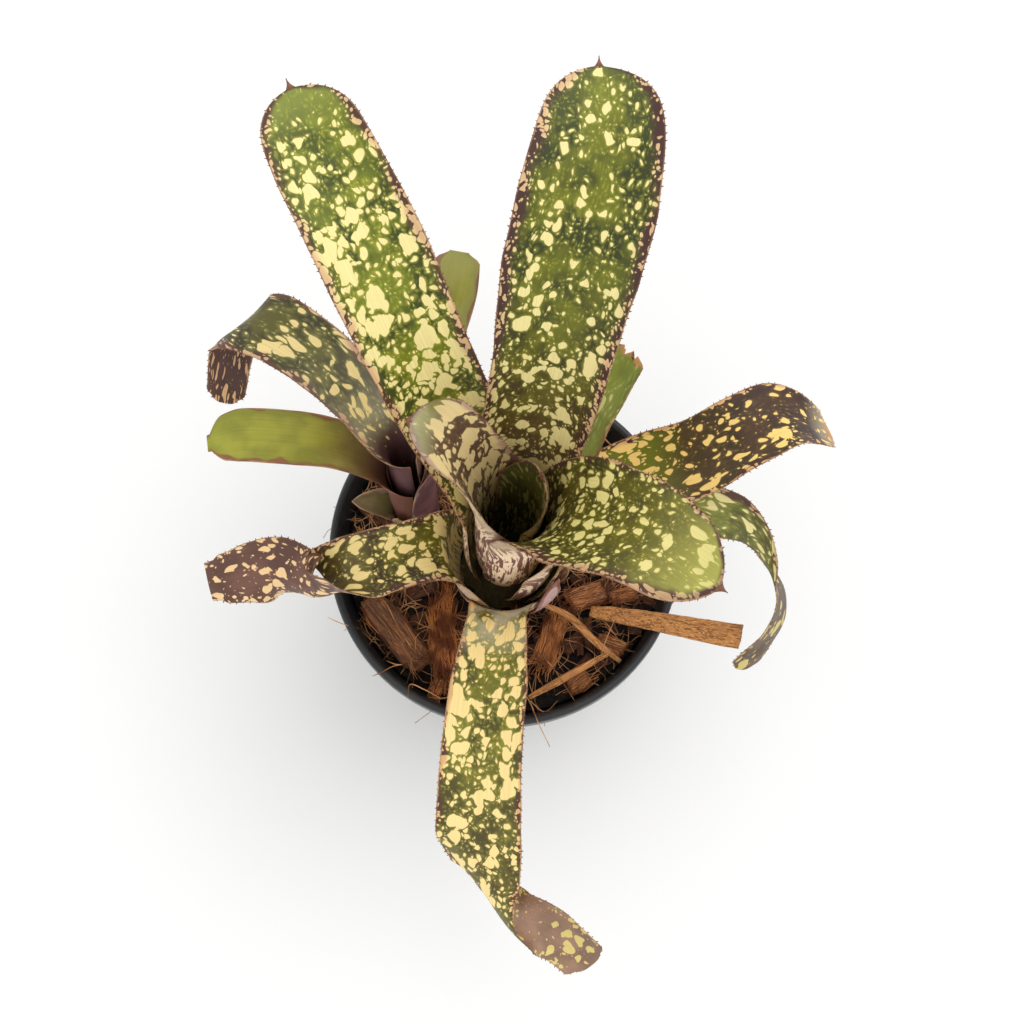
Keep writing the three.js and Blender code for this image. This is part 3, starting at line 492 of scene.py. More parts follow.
def leafSurface(leaf, s, distance, share):
    # places, upward normals and outward sides for every distance along and share across
    at = lambda key: np.stack([np.interp(distance, s["length"], s[key][:, i]) for i in range(3)], -1)
    unit = lambda v: v / np.linalg.norm(v, axis=-1, keepdims=True)
    along, width, inward, centre = unit(at("along")), unit(at("width")), unit(at("inward")), at("centre")
    number = lambda key: np.interp(distance, s["length"], s[key])[:, None]
    cos, sin = np.cos(number("twist")), np.sin(number("twist"))
    w, n = width * cos + inward * sin, inward * cos - width * sin
    fromEnd = np.maximum(s["length"][-1] - distance, 0)
    x = np.clip(fromEnd / leaf["tip"], 0, 1)
    blunt = leaf.get("blunt", leafEnd["leastSmooth"] if leaf.get("smooth") else leafEnd["least"])
    rounded = leaf.get("rounded", leafEnd["pointed"])
    end = np.maximum((1 - (1 - x) ** rounded[0]) ** rounded[1], blunt)
    if leaf.get("blunt") and not leaf.get("square"):
        arc = np.sqrt(1 - (1 - np.clip(fromEnd / leafEnd["cornerRound"], 0, 1)) ** 2)
        end = end * (leafEnd["cornerWidth"] + (1 - leafEnd["cornerWidth"]) * arc)
    halfWidth = number("half")[:, 0] * end
    bend = number("bend")
    bend = np.where(np.abs(bend) < sweep["flatBend"], sweep["flatBend"], bend)[..., None]
    angle = bend * (halfWidth[:, None] * share[None, :])[..., None]
    place = centre[:, None] + w[:, None] * np.sin(angle) / bend + n[:, None] * (1 - np.cos(angle)) / bend
    normal = n[:, None] * np.cos(angle) - w[:, None] * np.sin(angle)
    outward = w[:, None] * np.cos(angle) + n[:, None] * np.sin(angle)
    return place, normal, outward, along, halfWidth


leafMeshes = {
    "cell": 1.7, "turnCell": 0.09, "columns": 22, "ripple": 0.22, "rippleLength": 6.5, "wrinkle": 0.6,
    "wrinkleLength": 2.7, "calm": 8, "calmFade": 25, "torn": 0.9, "frayed": 0.6, "tornReach": 6,
}
# down in the cup the spots are drawn out and crowded; slim is for spots drawn out near the end
cupSpots = {"reach": 32, "fade": 50, "stretch": 4.6, "crowd": 0.6, "slim": 0.52, "slimFade": 0.08}


def bladeMesh(plant, leaf, s):
    distance = stationsOf(leaf, s, leafMeshes["cell"], leafMeshes["turnCell"])
    columns = leafMeshes["columns"]
    share = np.sin(np.linspace(-math.pi / 2, math.pi / 2, columns + 1))
    place, normal, _, along, halfWidth = leafSurface(leaf, s, distance, share)
    seed = leaf["seed"]
    d = distance[:, None]
    free = np.clip((d - s["riseLength"] - leafMeshes["calm"]) / leafMeshes["calmFade"], 0, 1)
    ripple = np.sin(d / leafMeshes["rippleLength"] + seed + 2 * share)
    wrinkle = np.sin(d / leafMeshes["wrinkleLength"] + 1.7 * seed - 3 * share)
    wave = ripple + leafMeshes["wrinkle"] * wrinkle
    place = place + normal * (leafMeshes["ripple"] * free * wave * np.abs(share) ** 3)[..., None]
    if leaf.get("ragged"):
        torn = leafMeshes["torn"] * np.sin(7 * share + seed) + leafMeshes["frayed"] * np.sin(19 * share)
        last = np.clip((d - distance[-1] + leafMeshes["tornReach"]) / leafMeshes["tornReach"], 0, 1)
        place = place + along[:, None] * (torn * last)[..., None]
    lift = leafThickness / 2 * np.sqrt(1 - np.abs(share) ** 8)[None, :, None]
    upper, lower = place + normal * lift, place - normal * lift
    rows = len(distance)
    inner = lower[:, 1:-1]
    corners = np.concatenate([upper.reshape(-1, 3), inner.reshape(-1, 3)])
    top = np.arange(rows * (columns + 1)).reshape(rows, columns + 1)
    under = top.copy()
    under[:, 1:-1] = rows * (columns + 1) + np.arange(rows * (columns - 1)).reshape(rows, columns - 1)
    faces = []
    for grid, flip in ((top, False), (under, True)):
        a, b, c, e = grid[:-1, :-1], grid[:-1, 1:], grid[1:, 1:], grid[1:, :-1]
        quads = np.stack([a, b, c, e] if flip else [a, e, c, b], -1).reshape(-1, 4)
        faces += quads.tolist()
    for row in (0, -1):
        for j in range(columns):
            loop = [top[row, j], top[row, j + 1], under[row, j + 1], under[row, j]]
            loop = list(dict.fromkeys(int(v) for v in loop))
            faces.append(loop if row == 0 else loop[::-1])
    mesh = meshFrom(leaf["node"], placeLeaf(plant, leaf, corners), faces)

    # what the skin reads at each corner, lengths in cm
    look = looks[leaf["look"]]
    across = share[None, :] * halfWidth[:, None]
    edge = (1 - np.abs(share))[None, :] * halfWidth[:, None]
    edge = edge / (1 + look.get("oneSided", 0) * share[None, :])
    spread = lambda values: np.broadcast_to(np.asarray(values, float).reshape(rows, -1), across.shape)
    rise = s["riseLength"]
    shareAlong = np.where(distance < rise, distance / rise - 1, (distance - rise) / (s["length"][-1] - rise))
    stations = np.array(fullRows(leaf["tones"], 5))
    tones = [spread(np.interp(shareAlong, stations[:, 0], stations[:, i])) for i in range(1, 5)]
    low = smoothStep(np.clip((rise + cupSpots["reach"] - distance) / cupSpots["fade"], 0, 1))
    stretch = look["stretch"] + (cupSpots["stretch"] - look["stretch"]) * low ** 2
    flow = np.concatenate([[0], np.cumsum(np.diff(distance) / ((stretch[1:] + stretch[:-1]) / 2))])
    crowd = 1 - cupSpots["crowd"] * low
    if leaf.get("slimFrom"):
        slim = np.clip((shareAlong - leaf["slimFrom"]) / cupSpots["slimFade"], 0, 1)
        crowd = crowd - cupSpots["slim"] * slim
    zero = np.zeros(across.shape)
    layers = {
        "place": (spread(distance) / 10, across / 10, spread(low)),
        "flow": (spread(flow) / 10, across / 10 / spread(crowd), tones[0]),
        "zone": (edge / 10, zero, spread(distance[-1] - distance) / 10),
        "tones": tones[1:],
    }
    for name, parts in layers.items():
        grid = np.stack(parts, -1)
        beneath = grid[:, 1:-1] + np.array((0, 1, 0)) * (name == "zone")
        keepVector(mesh, name, np.concatenate([grid.reshape(-1, 3), beneath.reshape(-1, 3)]))
    return mesh


# spines along the margins, made by a node tree that walks each margin line

class PieceTree(Tree):
    # a geometry tree with named inputs, closed by Set Material

    def __init__(self, name, **sockets):
        super().__init__(bpy.data.node_groups.new(name, "GeometryNodeTree"))
        self.tree.is_modifier = True
        for label, kind in {"Geometry": "Geometry", **sockets, "Seed": "Int", "Material": "Material"}.items():
            self.tree.interface.new_socket(label, in_out="INPUT", socket_type="NodeSocket" + kind)
        self.tree.interface.new_socket("Geometry", in_out="OUTPUT", socket_type="NodeSocketGeometry")
        self.given = self.tree.nodes.new("NodeGroupInput").outputs

    def random(self, low, high, vectors=False):
        # the node keeps its vector sockets first and those for plain numbers after them
        place, result, kind = (0, 0, "FLOAT_VECTOR") if vectors else (2, 1, "FLOAT")
        sockets = {place: low, place + 1: high, "Seed": self.given["Seed"]}
        return self.node("FunctionNodeRandomValue", sockets, data_type=kind).outputs[result]

    def scatter(self):
        return self.first("GeometryNodeDistributePointsOnFaces", {
            "Mesh": self.given["Geometry"], "Density": self.given["Density"], "Seed": self.given["Seed"]})

    def realized(self, points, shape, turn, size, pick=False):
        placed = self.first("GeometryNodeInstanceOnPoints", {
            "Points": points, "Instance": shape, "Pick Instance": pick, "Rotation": turn, "Scale": size})
        return self.first("GeometryNodeRealizeInstances", {"Geometry": placed})

    def close(self, geometry):
        dressed = self.first(
            "GeometryNodeSetMaterial", {"Geometry": geometry, "Material": self.given["Material"]})
        self.put(self.tree.nodes.new("NodeGroupOutput").inputs[0], dressed)
        return self.tree


def socketId(tree, label):
    return next(s.identifier for s in tree.interface.items_tree if s.name == label and s.in_out == "INPUT")


def runTree(made, tree, values):
    # gives the object the tree, and returns its result as a plain mesh
    modifier = made.modifiers.new(tree.name, "NODES")
    modifier.node_group = tree
    for label, value in values.items():
        modifier[socketId(tree, label)] = value
    made.update_tag()
    evaluated = made.evaluated_get(bpy.context.evaluated_depsgraph_get())
    mesh = bpy.data.meshes.new_from_object(evaluated)
    made.modifiers.remove(modifier)
    return mesh


def spineTree():
    made = PieceTree("marginSpines", Spacing="Float", Height="Float", Base="Float")
    given = made.given
    line = made.first("GeometryNodeMeshToCurve", {"Mesh": given["Geometry"]})
    even = made.first("GeometryNodeResampleCurve", {"Curve": line, "Length": given["Spacing"]}, mode="LENGTH")
    aim = made.first("GeometryNodeInputNamedAttribute", {"Name": "aim"}, data_type="FLOAT_VECTOR")
    turn = made.first("FunctionNodeAlignRotationToVector", {"Vector": aim}, axis="Z")
    cone = made.first("GeometryNodeMeshCone", {
        "Vertices": 5, "Radius Top": 0.00003, "Radius Bottom": given["Base"], "Depth": given["Height"]})
    return made.close(made.realized(even, cone, turn, made.random(0.55, 1.2)))


# the small spines of the margins, and the mucro, the longer one at a leaf's end, in mm
spines = {
    "spacing": 2.1, "height": 0.65, "base": 0.22, "sink": 0.12, "from": 9, "before": 0.6, "step": 0.8,
    "lean": 0.45, "mucro": 3.0, "mucroFoot": 1.9, "mucroSink": 0.5, "mucroHook": 0.7, "mucroTaper": 2.1,
    "mucroPoint": 0.14, "mucroThick": 0.3,
}


def marginSpines(plant, leaf, s, tree, material):
    distance = np.arange(s["riseLength"] + spines["from"], s["length"][-1] - spines["before"], spines["step"])
    place, _, outward, along, _ = leafSurface(leaf, s, distance, np.array((-1.0, 1.0)))
    corners, aims, edges = [], [], []
    for side in (0, 1):
        out = outward[:, side] * (-1 if side == 0 else 1)
        aim = out + spines["lean"] * along
        first = len(corners)
        corners += list(placeLeaf(plant, leaf, place[:, side] - out * spines["sink"]))
        aims += list(turnLeaf(plant, leaf, aim))
        edges += [(first + i, first + i + 1) for i in range(len(distance) - 1)]
    mesh = bpy.data.meshes.new("marginLine")
    mesh.from_pydata([tuple(c) for c in corners], edges, [])
    keepVector(mesh, "aim", aims)
    line = newObject("marginLine", mesh)
    made = runTree(line, tree, {
        "Spacing": spines["spacing"] * mm, "Height": spines["height"] * mm, "Base": spines["base"] * mm,
        "Seed": int(leaf["seed"]), "Material": material})
    bpy.data.objects.remove(line)
    return made


def mucroMesh(plant, leaf, s):
    # the leaf's end drawn out into a small point that hooks a little upward
    end = np.array([s["length"][-1]])
    place, normal, outward, along, _ = leafSurface(leaf, s, end, np.array((0.0,)))
    start, up, side, ahead = place[0, 0], normal[0, 0], outward[0, 0], along[0]
    corners, sides, rings = [], 8, 9
    for i in range(rings):
        t = i / (rings - 1)
        reach = (spines["mucro"] + spines["mucroSink"]) * t - spines["mucroSink"]
        middle = start + ahead * reach + up * spines["mucroHook"] * t * t
        wide = spines["mucroFoot"] * (1 - t) ** spines["mucroTaper"] + spines["mucroPoint"]
        thick = spines["mucroThick"] * (1 - t) + 0.1
        corners += [middle + side * cos * wide + up * sin * thick for cos, sin in circle(sides)]
    return meshFrom("mucro", placeLeaf(plant, leaf, np.array(corners)), ringFaces(rings, sides))


# leaf finishes: the tones of toneNames as screen colours, edgeWidth in cm, and how much of its cell a
# large, a middling and a small spot may fill
looks = {
    "bright": {
        "edgeWidth": 0.26, "spots": (0.30, 0.40, 0.40), "stretch": 1.25, "tones": ((116, 126, 24),
        (58, 68, 16), (80, 52, 38), (248, 232, 158), (170, 170, 48), (222, 182, 134), (98, 72, 54)),
    },
    "back": {
        "edgeWidth": 0.34, "spots": (0.30, 0.38, 0.38), "stretch": 1.25, "tones": ((110, 114, 14),
        (54, 60, 14), (70, 42, 36), (246, 230, 158), (152, 154, 46), (222, 182, 134), (94, 62, 38)),
    },
    "broad": {
        "edgeWidth": 0.24, "spots": (0.18, 0.42, 0.36), "stretch": 1.8, "oneSided": -0.6, "softTip": 2.4,
        "fresh": (182, 178, 84), "tones": ((86, 82, 18), (52, 48, 18), (78, 48, 44), (244, 230, 150),
        (146, 140, 46), (212, 170, 126), (92, 66, 52)),
    },
    "cup": {
        "edgeWidth": 0.18, "spots": (0.24, 0.44, 0.36), "stretch": 2.8, "softTip": 1.6,
        "tones": ((108, 84, 48), (86, 56, 46), (116, 80, 76), (248, 222, 162), (160, 138, 92),
        (200, 166, 144), (98, 66, 60)),
    },
    "young": {
        "edgeWidth": 0.12, "spots": (0.2, 0.40, 0.30), "stretch": 3.4, "tones": ((96, 100, 42),
        (64, 70, 32), (116, 92, 72), (190, 184, 116), (118, 120, 58), (160, 140, 108), (98, 76, 56)),
    },
    "cut": {
        "edgeWidth": 0.06, "spots": (0.2, 0.4, 0.28), "stretch": 3.0, "driedEnd": 0.12,
        "tones": ((136, 150, 56), (106, 120, 42), (146, 116, 66), (222, 220, 146), (170, 178, 86),
        (206, 182, 124), (106, 86, 60)),
    },
    "dark": {
        "edgeWidth": 0.12, "spots": (0.26, 0.42, 0.36), "stretch": 1.6, "fresh": (112, 116, 28),
        "driedEnd": 0.3, "tones": ((68, 36, 22), (50, 24, 18), (74, 38, 30), (250, 212, 122), (108, 80, 36),
        (220, 172, 116), (80, 42, 34)),
    },
    "narrow": {
        "edgeWidth": 0.1, "spots": (0.22, 0.42, 0.32), "stretch": 2.2, "underGround": (98, 72, 44),
        "underSpot": (208, 188, 106), "tones": ((124, 132, 54), (90, 92, 42), (92, 62, 46), (244, 232, 160),
        (166, 164, 78), (212, 176, 132), (86, 60, 40)),
    },
    "rolled": {
        "edgeWidth": 0.2, "spots": (0.22, 0.44, 0.34), "stretch": 1.3, "underGround": (118, 80, 66),
        "underSpot": (244, 206, 150), "tones": ((100, 94, 22), (60, 46, 20), (80, 44, 38), (250, 226, 150),
        (146, 142, 50), (218, 176, 130), (84, 54, 44)),
    },
    "front": {
        "edgeWidth": 0.12, "spots": (0.24, 0.44, 0.38), "stretch": 1.15, "underGround": (166, 130, 106),
        "underSpot": (222, 202, 122), "tones": ((114, 112, 30), (78, 74, 24), (84, 50, 38), (255, 226, 152),
        (166, 162, 62), (222, 174, 116), (84, 62, 36)),
    },
    "arching": {
        "edgeWidth": 0.16, "spots": (0.2, 0.42, 0.36), "stretch": 2.1, "underGround": (98, 66, 56),
        "underSpot": (220, 174, 126), "wall": (112, 80, 84), "wallStreak": (88, 60, 66),
        "tones": ((94, 90, 34), (60, 56, 28), (92, 60, 48), (244, 220, 150), (142, 142, 74),
        (212, 172, 136), (100, 68, 70)),
    },
    "olive": {
        "edgeWidth": 0.05, "spots": (-1, -1, 0.12), "stretch": 1.0, "tones": ((164, 162, 50),
        (138, 138, 42), (140, 94, 56), (200, 196, 100), (170, 168, 62), (172, 142, 98), (120, 78, 66)),
    },
    "sheath": {
        "edgeWidth": 0.05, "spots": (-1, -1, 0.08), "stretch": 2.0, "tones": ((132, 94, 100), (104, 72, 78),
        (150, 126, 118), (190, 164, 152), (140, 112, 112), (180, 150, 140), (108, 76, 84)),
    },
    "scale": {
        "edgeWidth": 0.07, "spots": (-1, -1, 0.1), "stretch": 2.0, "tones": ((140, 134, 80), (122, 108, 72),
        (166, 140, 114), (184, 170, 116), (150, 138, 92), (170, 150, 120), (126, 94, 84)),
    },
    "papery": {
        "edgeWidth": 0.05, "spots": (-1, -1, 0.3), "stretch": 3.6, "tones": ((220, 182, 178),
        (166, 120, 116), (136, 94, 78), (240, 216, 204), (200, 168, 166), (184, 144, 122), (134, 86, 64)),
    },
}
toneNames = ("ground", "shade", "edge", "spot", "halo", "edgeSpot", "purple")
for look in looks.values():
    look.update(zip(toneNames, look["tones"]))


# how spots, margin band and clouds of tone are laid out: sizes in cm, scales in cells to a cm
spotting = {
    "softness": 0.22, "sizeRange": 0.62, "scales": (1.35, 2.5, 5.0), "speckScale": 9.0, "speck": 0.18,
    "cloudScale": 0.85, "bandSway": -0.7, "coverSway": 0.8, "evenCover": 0.57, "coverGain": 0.85,
    "cupGain": 0.12, "bandGain": 0.2, "bandLoss": 0.3, "speckGain": 0.4, "speckBandGain": 0.36,
    "warpScale": 2.4, "warp": 0.28, "merge": 0.04, "spotEdge": (-0.006, 0.014), "halo": (-0.07, 0.004),
    "freshTone": (160, 168, 72), "paleTone": (228, 218, 186), "driedTone": (196, 140, 84),
    "rimDark": (126, 80, 58), "rimLight": (190, 150, 108), "underGround": (126, 98, 80),
    "underPale": (226, 212, 178), "underSpot": (216, 192, 150), "wall": (255, 226, 192),
    "wallStreak": (122, 82, 76),
}


def spotLayer(skin, flow, scale, largest, cover):
    # above zero inside a spot, in cm: soft cells of chance size, larger where the cover is high
    cell = skin.cells(flow, scale, spotting["softness"])
    chance = skin.split(cell["Color"])[0]
    radius = skin.ramp(chance, 0.12, 0.88, largest - spotting["sizeRange"], largest, smooth=False)
    return skin.times(skin.minus(skin.plus(radius, cover), cell["Distance"]), 1 / scale)


def spotField(skin, look, drawn, band, cloud, low, shift):
    # large and middling spots keep off the margin band, where small ones crowd
    cover = skin.plus(skin.split(drawn)[2], skin.times(skin.minus(cloud, 0.5), spotting["coverSway"]))
    cover = skin.times(skin.minus(cover, spotting["evenCover"]), spotting["coverGain"])
    cover = skin.plus(cover, skin.times(low, spotting["cupGain"]))
    inBand = skin.plus(cover, skin.times(band, spotting["bandGain"]))
    specks = skin.plus(skin.times(cover, spotting["speckGain"]), skin.times(band, spotting["speckBandGain"]))
    offBand = skin.minus(cover, skin.times(band, spotting["bandLoss"]))
    flow = skin.vector("ADD", drawn, shift)
    rough = skin.vector("SUBTRACT", skin.noise(flow, spotting["warpScale"], 1.0)[1], (0.5, 0.5, 0.5))
    rough = skin.vector("MULTIPLY", rough, (spotting["warp"], spotting["warp"], 0))
    flow = skin.vector("ADD", flow, rough)
    large, middling, small = look["spots"]
    largeScale, middlingScale, smallScale = spotting["scales"]
    field = spotLayer(skin, flow, smallScale, small, inBand)
    layers = (
        (middlingScale, middling, offBand), (largeScale, large, offBand),
        (spotting["speckScale"], spotting["speck"], specks))
    for scale, size, layerCover in layers:
        if size > 0 and middling > 0:
            layer = spotLayer(skin, flow, scale, size, layerCover)
            sockets = {0: field, 1: layer, 2: spotting["merge"]}
            field = skin.first("ShaderNodeMath", sockets, operation="SMOOTH_MAX")
    return field


def leafSkin(leaf, look):
    toneOf = lambda key: tint(*look.get(key, spotting.get(key)))
    skin = Skin(leaf["node"] + "Skin", 0.46, "2D")
    shift = (leaf["seed"], 1.7 * leaf["seed"], 0)
    raw, drawn = skin.attribute("place"), skin.attribute("flow")
    low = skin.split(raw)[2]
    place = skin.vector("ADD", raw, shift)
    edge, under, fromEnd = skin.split(skin.attribute("zone"))[:3]
    purple, fresh, pale = skin.split(skin.attribute("tones"))[:3]
    clouds = skin.split(skin.noise(place, spotting["cloudScale"], 2.0)[1])

    # the purple band along each margin, uneven in width
    width = look["edgeWidth"]
    band = skin.plus(edge, skin.times(skin.minus(clouds[1], 0.5), spotting["bandSway"]))
    band = skin.ramp(band, width * 1.5, width * 0.2)
    field = spotField(skin, look, drawn, band, clouds[0], low, shift)
    spot = skin.ramp(field, *spotting["spotEdge"])
    halo = skin.ramp(field, *spotting["halo"])

    fine = skin.noise(skin.vector("MULTIPLY", place, (0.35, 30.0, 1.0)), 1.0, 2.0)[0]
    nearEdge = skin.ramp(edge, width * 4, 0.1, 0.0, 0.7)
    deep = skin.maths("ADD", skin.ramp(clouds[2], 0.36, 0.66), nearEdge, True)
    ground = skin.mix(deep, toneOf("ground"), toneOf("shade"))
    ground = skin.mix(skin.times(halo, 0.6), ground, toneOf("halo"))
    ground = skin.mix(fresh, ground, tint(*look.get("fresh", spotting["freshTone"])))
    offHalo = skin.ramp(halo, 0.0, 1.0, 1.0, 0.7)
    ground = skin.mix(skin.times(purple, offHalo), ground, toneOf("purple"))
    ground = skin.mix(band, ground, toneOf("edge"))
    ground = skin.mix(skin.times(pale, skin.ramp(clouds[1], 0.2, 0.5)), ground, toneOf("paleTone"))
    if look.get("softTip"):
        spot = skin.times(spot, skin.ramp(fromEnd, 0.0, look["softTip"], 0.55, 1.0))
    tone = skin.mix(spot, ground, skin.mix(band, toneOf("spot"), toneOf("edgeSpot")))

    # the underside is duller and browner, and down in the cup it is cream with brown streaks
    if look["spots"][1] > 0:
        dull = look.get("underGround", spotting["underGround"])
        back = skin.mix(skin.ramp(clouds[2], 0.3, 0.7), tint(*dull), tint(*[c * 0.8 for c in dull]))
        back = skin.mix(skin.times(pale, 0.8), back, toneOf("underPale"))
        back = skin.mix(low, back, toneOf("wall"))
        streak = skin.mix(low, toneOf("underSpot"), toneOf("wallStreak"))
        tone = skin.mix(skin.ramp(under, 0.3, 0.7), tone, skin.mix(spot, back, streak))

    lines = skin.ramp(fine, 0.3, 0.7, 0.93, 1.05)
    tone = skin.mix(1.0, tone, skin.triple(lines, lines, lines), "MULTIPLY")
    # the very margin is tan to red-brown
    rimTone = skin.mix(skin.ramp(clouds[0], 0.4, 0.6), toneOf("rimDark"), toneOf("rimLight"))
    tone = skin.mix(skin.times(skin.ramp(edge, 0.05, 0.02), 0.7), tone, rimTone)
    if look.get("driedEnd"):
        uneven = skin.plus(fromEnd, skin.times(clouds[1], 0.2))
        tone = skin.mix(skin.ramp(uneven, look["driedEnd"] + 0.16, 0.12), tone, toneOf("driedTone"))
    skin.colour(tone)

    skin.bump(skin.plus(fine, skin.times(spot, 0.15)), 0.2, 0.0003)
    skin.put(skin.shader.inputs["Roughness"], skin.ramp(clouds[2], 0.2, 0.8, 0.42, 0.56, smooth=False))
    skin.shader.inputs["Specular IOR Level"].default_value = 0.4
    return skin.material


def spineSkin():
    skin = Skin("spineSkin", 0.5)
    skin.colour(skin.mix(skin.noise(skin.here(), 900.0, 2.0)[0], tint(74, 38, 30), tint(150, 98, 66)))
    return skin.material


slotOf = {
    "leaf_right_dark": "leaf_dark", "leaf_left_rolled": "leaf_dark", "pup_leaf_back": "leaf_plain",
    "pup_leaf_left": "leaf_plain", "pup_scale_left": "leaf_plain", "pup_scale_front": "leaf_plain",
    "pup_sheath_right": "sheath_purple", "pup_scale_right": "sheath_purple", "scale_lilac": "dry_scale",
    "scale_brown": "dry_scale",
}
marginTree, brownSpines = spineTree(), spineSkin()


def joinMeshes(base, extras):
    # adds the extra meshes to the base with the second material
    work = bmesh.new()
    work.from_mesh(base)
    for extra in extras:
        before = len(work.faces)
        work.from_mesh(extra)
        work.faces.ensure_lookup_table()
        for face in work.faces[before:]:
            face.material_index = 1
            face.smooth = True
    work.to_mesh(base)
    work.free()


def makeLeaf(plant, leaf):
    s = leafSections(plant, leaf)
    mesh = bladeMesh(plant, leaf, s)
    mesh.materials.append(leafSkin(leaf, looks[leaf["look"]]))
    if not leaf.get("smooth"):
        mesh.materials.append(brownSpines)
        extras = [marginSpines(plant, leaf, s, marginTree, brownSpines)]
        if not leaf.get("blunt"):
            extras.append(mucroMesh(plant, leaf, s))
        joinMeshes(mesh, extras)
    made = newObject(leaf["node"] + "_fine", mesh)
    finishPiece(made, slotOf.get(leaf["node"], "leaf_spotted"), leaf["node"])


for plant, leaves in ((mother, motherLeaves), (pup, pupLeaves)):
    for leaf in leaves:
        makeLeaf(plant, leaf)
print("leaves done")


# the pot
pot = {
    "height": 95, "rim": 57, "foot": 41, "wall": 1.3, "lipWidth": 2.8, "lipDepth": 8, "sides": 144,
    "holes": 6, "holeRadius": 4, "holeRing": 31, "holeSides": 28, "innerFoot": 20, "floor": 1.8,
    "rimStep": 1.6, "floorCurve": 2.4, "edgeAngle": 40,
}


def wallRadius(height):
    return pot["foot"] + (pot["rim"] - pot["rimStep"] - pot["foot"]) * height / pot["height"]


def potSkin():
    skin = Skin("potPlastic", 0.42)
    here = skin.here()
    grain = skin.noise(here, 1400.0, 3.0)[0]
    dust = skin.ramp(skin.noise(here, 60.0, 5.0, 0.65)[0], 0.48, 0.75)
    skin.colour(skin.mix(skin.times(dust, 0.22), tint(31, 34, 37), tint(108, 104, 98)))
    skin.put(skin.shader.inputs["Roughness"], skin.ramp(dust, 0.0, 1.0, 0.36, 0.62, smooth=False))
    skin.bump(skin.plus(grain, skin.times(dust, 0.5)), 0.12, 0.0002)
    return skin.material


def roundLip(radius, top, width):
    # the rolled lip in section, from its foot outside to its foot inside
    points = []
    for i in range(9):
        angle = math.pi * i / 8
        across, up = width / 2 * math.cos(angle), width / 2 * math.sin(angle)
        points.append((radius - width / 2 + across, top - width / 2 + up))
    return points


def makePot():
    lipFoot = pot["height"] - pot["lipDepth"]
    outside = [(pot["foot"] - 1, 0), (pot["foot"] - 0.3, 0.25), (pot["foot"], 1)]
    for i in range(1, 12):
        z = 1 + (lipFoot - 1) * i / 11
        outside.append((wallRadius(z), z))
    outside += [
        (wallRadius(lipFoot) + 0.8, lipFoot + 0.2), (pot["rim"] - 0.4, lipFoot + 0.6),
        (pot["rim"], lipFoot + 1.4)]
    inside = [(wallRadius(lipFoot - 2) - pot["wall"], lipFoot - 2)]
    for i in range(1, 9):
        z = lipFoot - 2 - (lipFoot - 5) * i / 8
        inside.append((wallRadius(z) - pot["wall"], z))
    floorReach = pot["foot"] - pot["wall"] - pot["floorCurve"]
    inside += [(floorReach, pot["floor"]), (pot["innerFoot"], pot["floor"])]
    lip = roundLip(pot["rim"], pot["height"], pot["lipWidth"])
    outline = [(pot["innerFoot"], 0)] + outside + lip + inside
    corners = [(r * cos * mm, r * sin * mm, z * mm) for r, z in outline for cos, sin in circle(pot["sides"])]
    made = newObject("pot_fine", meshFrom("pot", corners, ringFaces(len(outline), pot["sides"])))
    cutters = []
    for k in range(pot["holes"]):
        angle = 2 * math.pi * (k + 0.5) / pot["holes"]
        x, y = pot["holeRing"] * math.cos(angle), pot["holeRing"] * math.sin(angle)
        ring = [
            (x + pot["holeRadius"] * cos, y + pot["holeRadius"] * sin, z)
            for z in (-2, 6) for cos, sin in circle(pot["holeSides"])]
        drain = meshFrom("drainCutter", np.array(ring) * mm, ringFaces(2, pot["holeSides"]))
        cutter = newObject("drainCutter", drain)
        modifier = made.modifiers.new("drain", "BOOLEAN")
        modifier.object = cutter
        modifier.operation = "DIFFERENCE"
        modifier.solver = "EXACT"
        cutters.append(cutter)
    evaluated = made.evaluated_get(bpy.context.evaluated_depsgraph_get())
    cut = bpy.data.meshes.new_from_object(evaluated)
    made.modifiers.clear()
    made.data = cut
    for cutter in cutters:
        bpy.data.objects.remove(cutter)
    cut.set_sharp_from_angle(angle=math.radians(pot["edgeAngle"]))
    cut.materials.clear()
    cut.materials.append(potSkin())
    finishPiece(made, "pot", "pot")


makePot()
print("pot done")


# the filling: its lumpy top, crumbs of bark and coir fibres, in mm, with their numbers to a square metre
filling = {
    "top": 83, "bottom": 2.2, "crumbs": 36000, "fibres": 60000, "fibreLength": 20, "fibreThickness": 0.11,
    "fibreLift": 2.6, "wander": 22, "smallest": 0.35, "largest": 1.05, "seed": 5, "rings": 60, "around": 180,
    "rough": 1.1, "clearOfMother": 19, "clearOfPup": 9.5, "gap": 0.8, "litterInset": 2.2,
}
crumbSizes = ((8.5, 4.2, 1.8), (6, 4.8, 2.2), (12, 2.8, 1.5), (14, 4.0, 1.6), (4.4, 3.4, 2.0))


def fillHeight(x, y):
    lumps = np.sin(0.31 * x + 0.7) * np.cos(0.27 * y - 0.4) + 0.6 * np.sin(0.19 * x - 0.37 * y)
    return filling["top"] + 1.3 * lumps


def soilSkin():
    skin = Skin("soilSkin", 0.95)
    grain = skin.noise(skin.here(), 700.0, 3.0, 0.7)[0]
    # near black: partly the filling's own dark brown, partly painted shade standing in for the shadowed gaps
    # between the crumbs
    skin.colour(skin.mix(skin.ramp(grain, 0.45, 0.75), tint(10, 7, 6), tint(52, 32, 22)))
    skin.bump(grain, 0.8, 0.0008)
    return skin.material


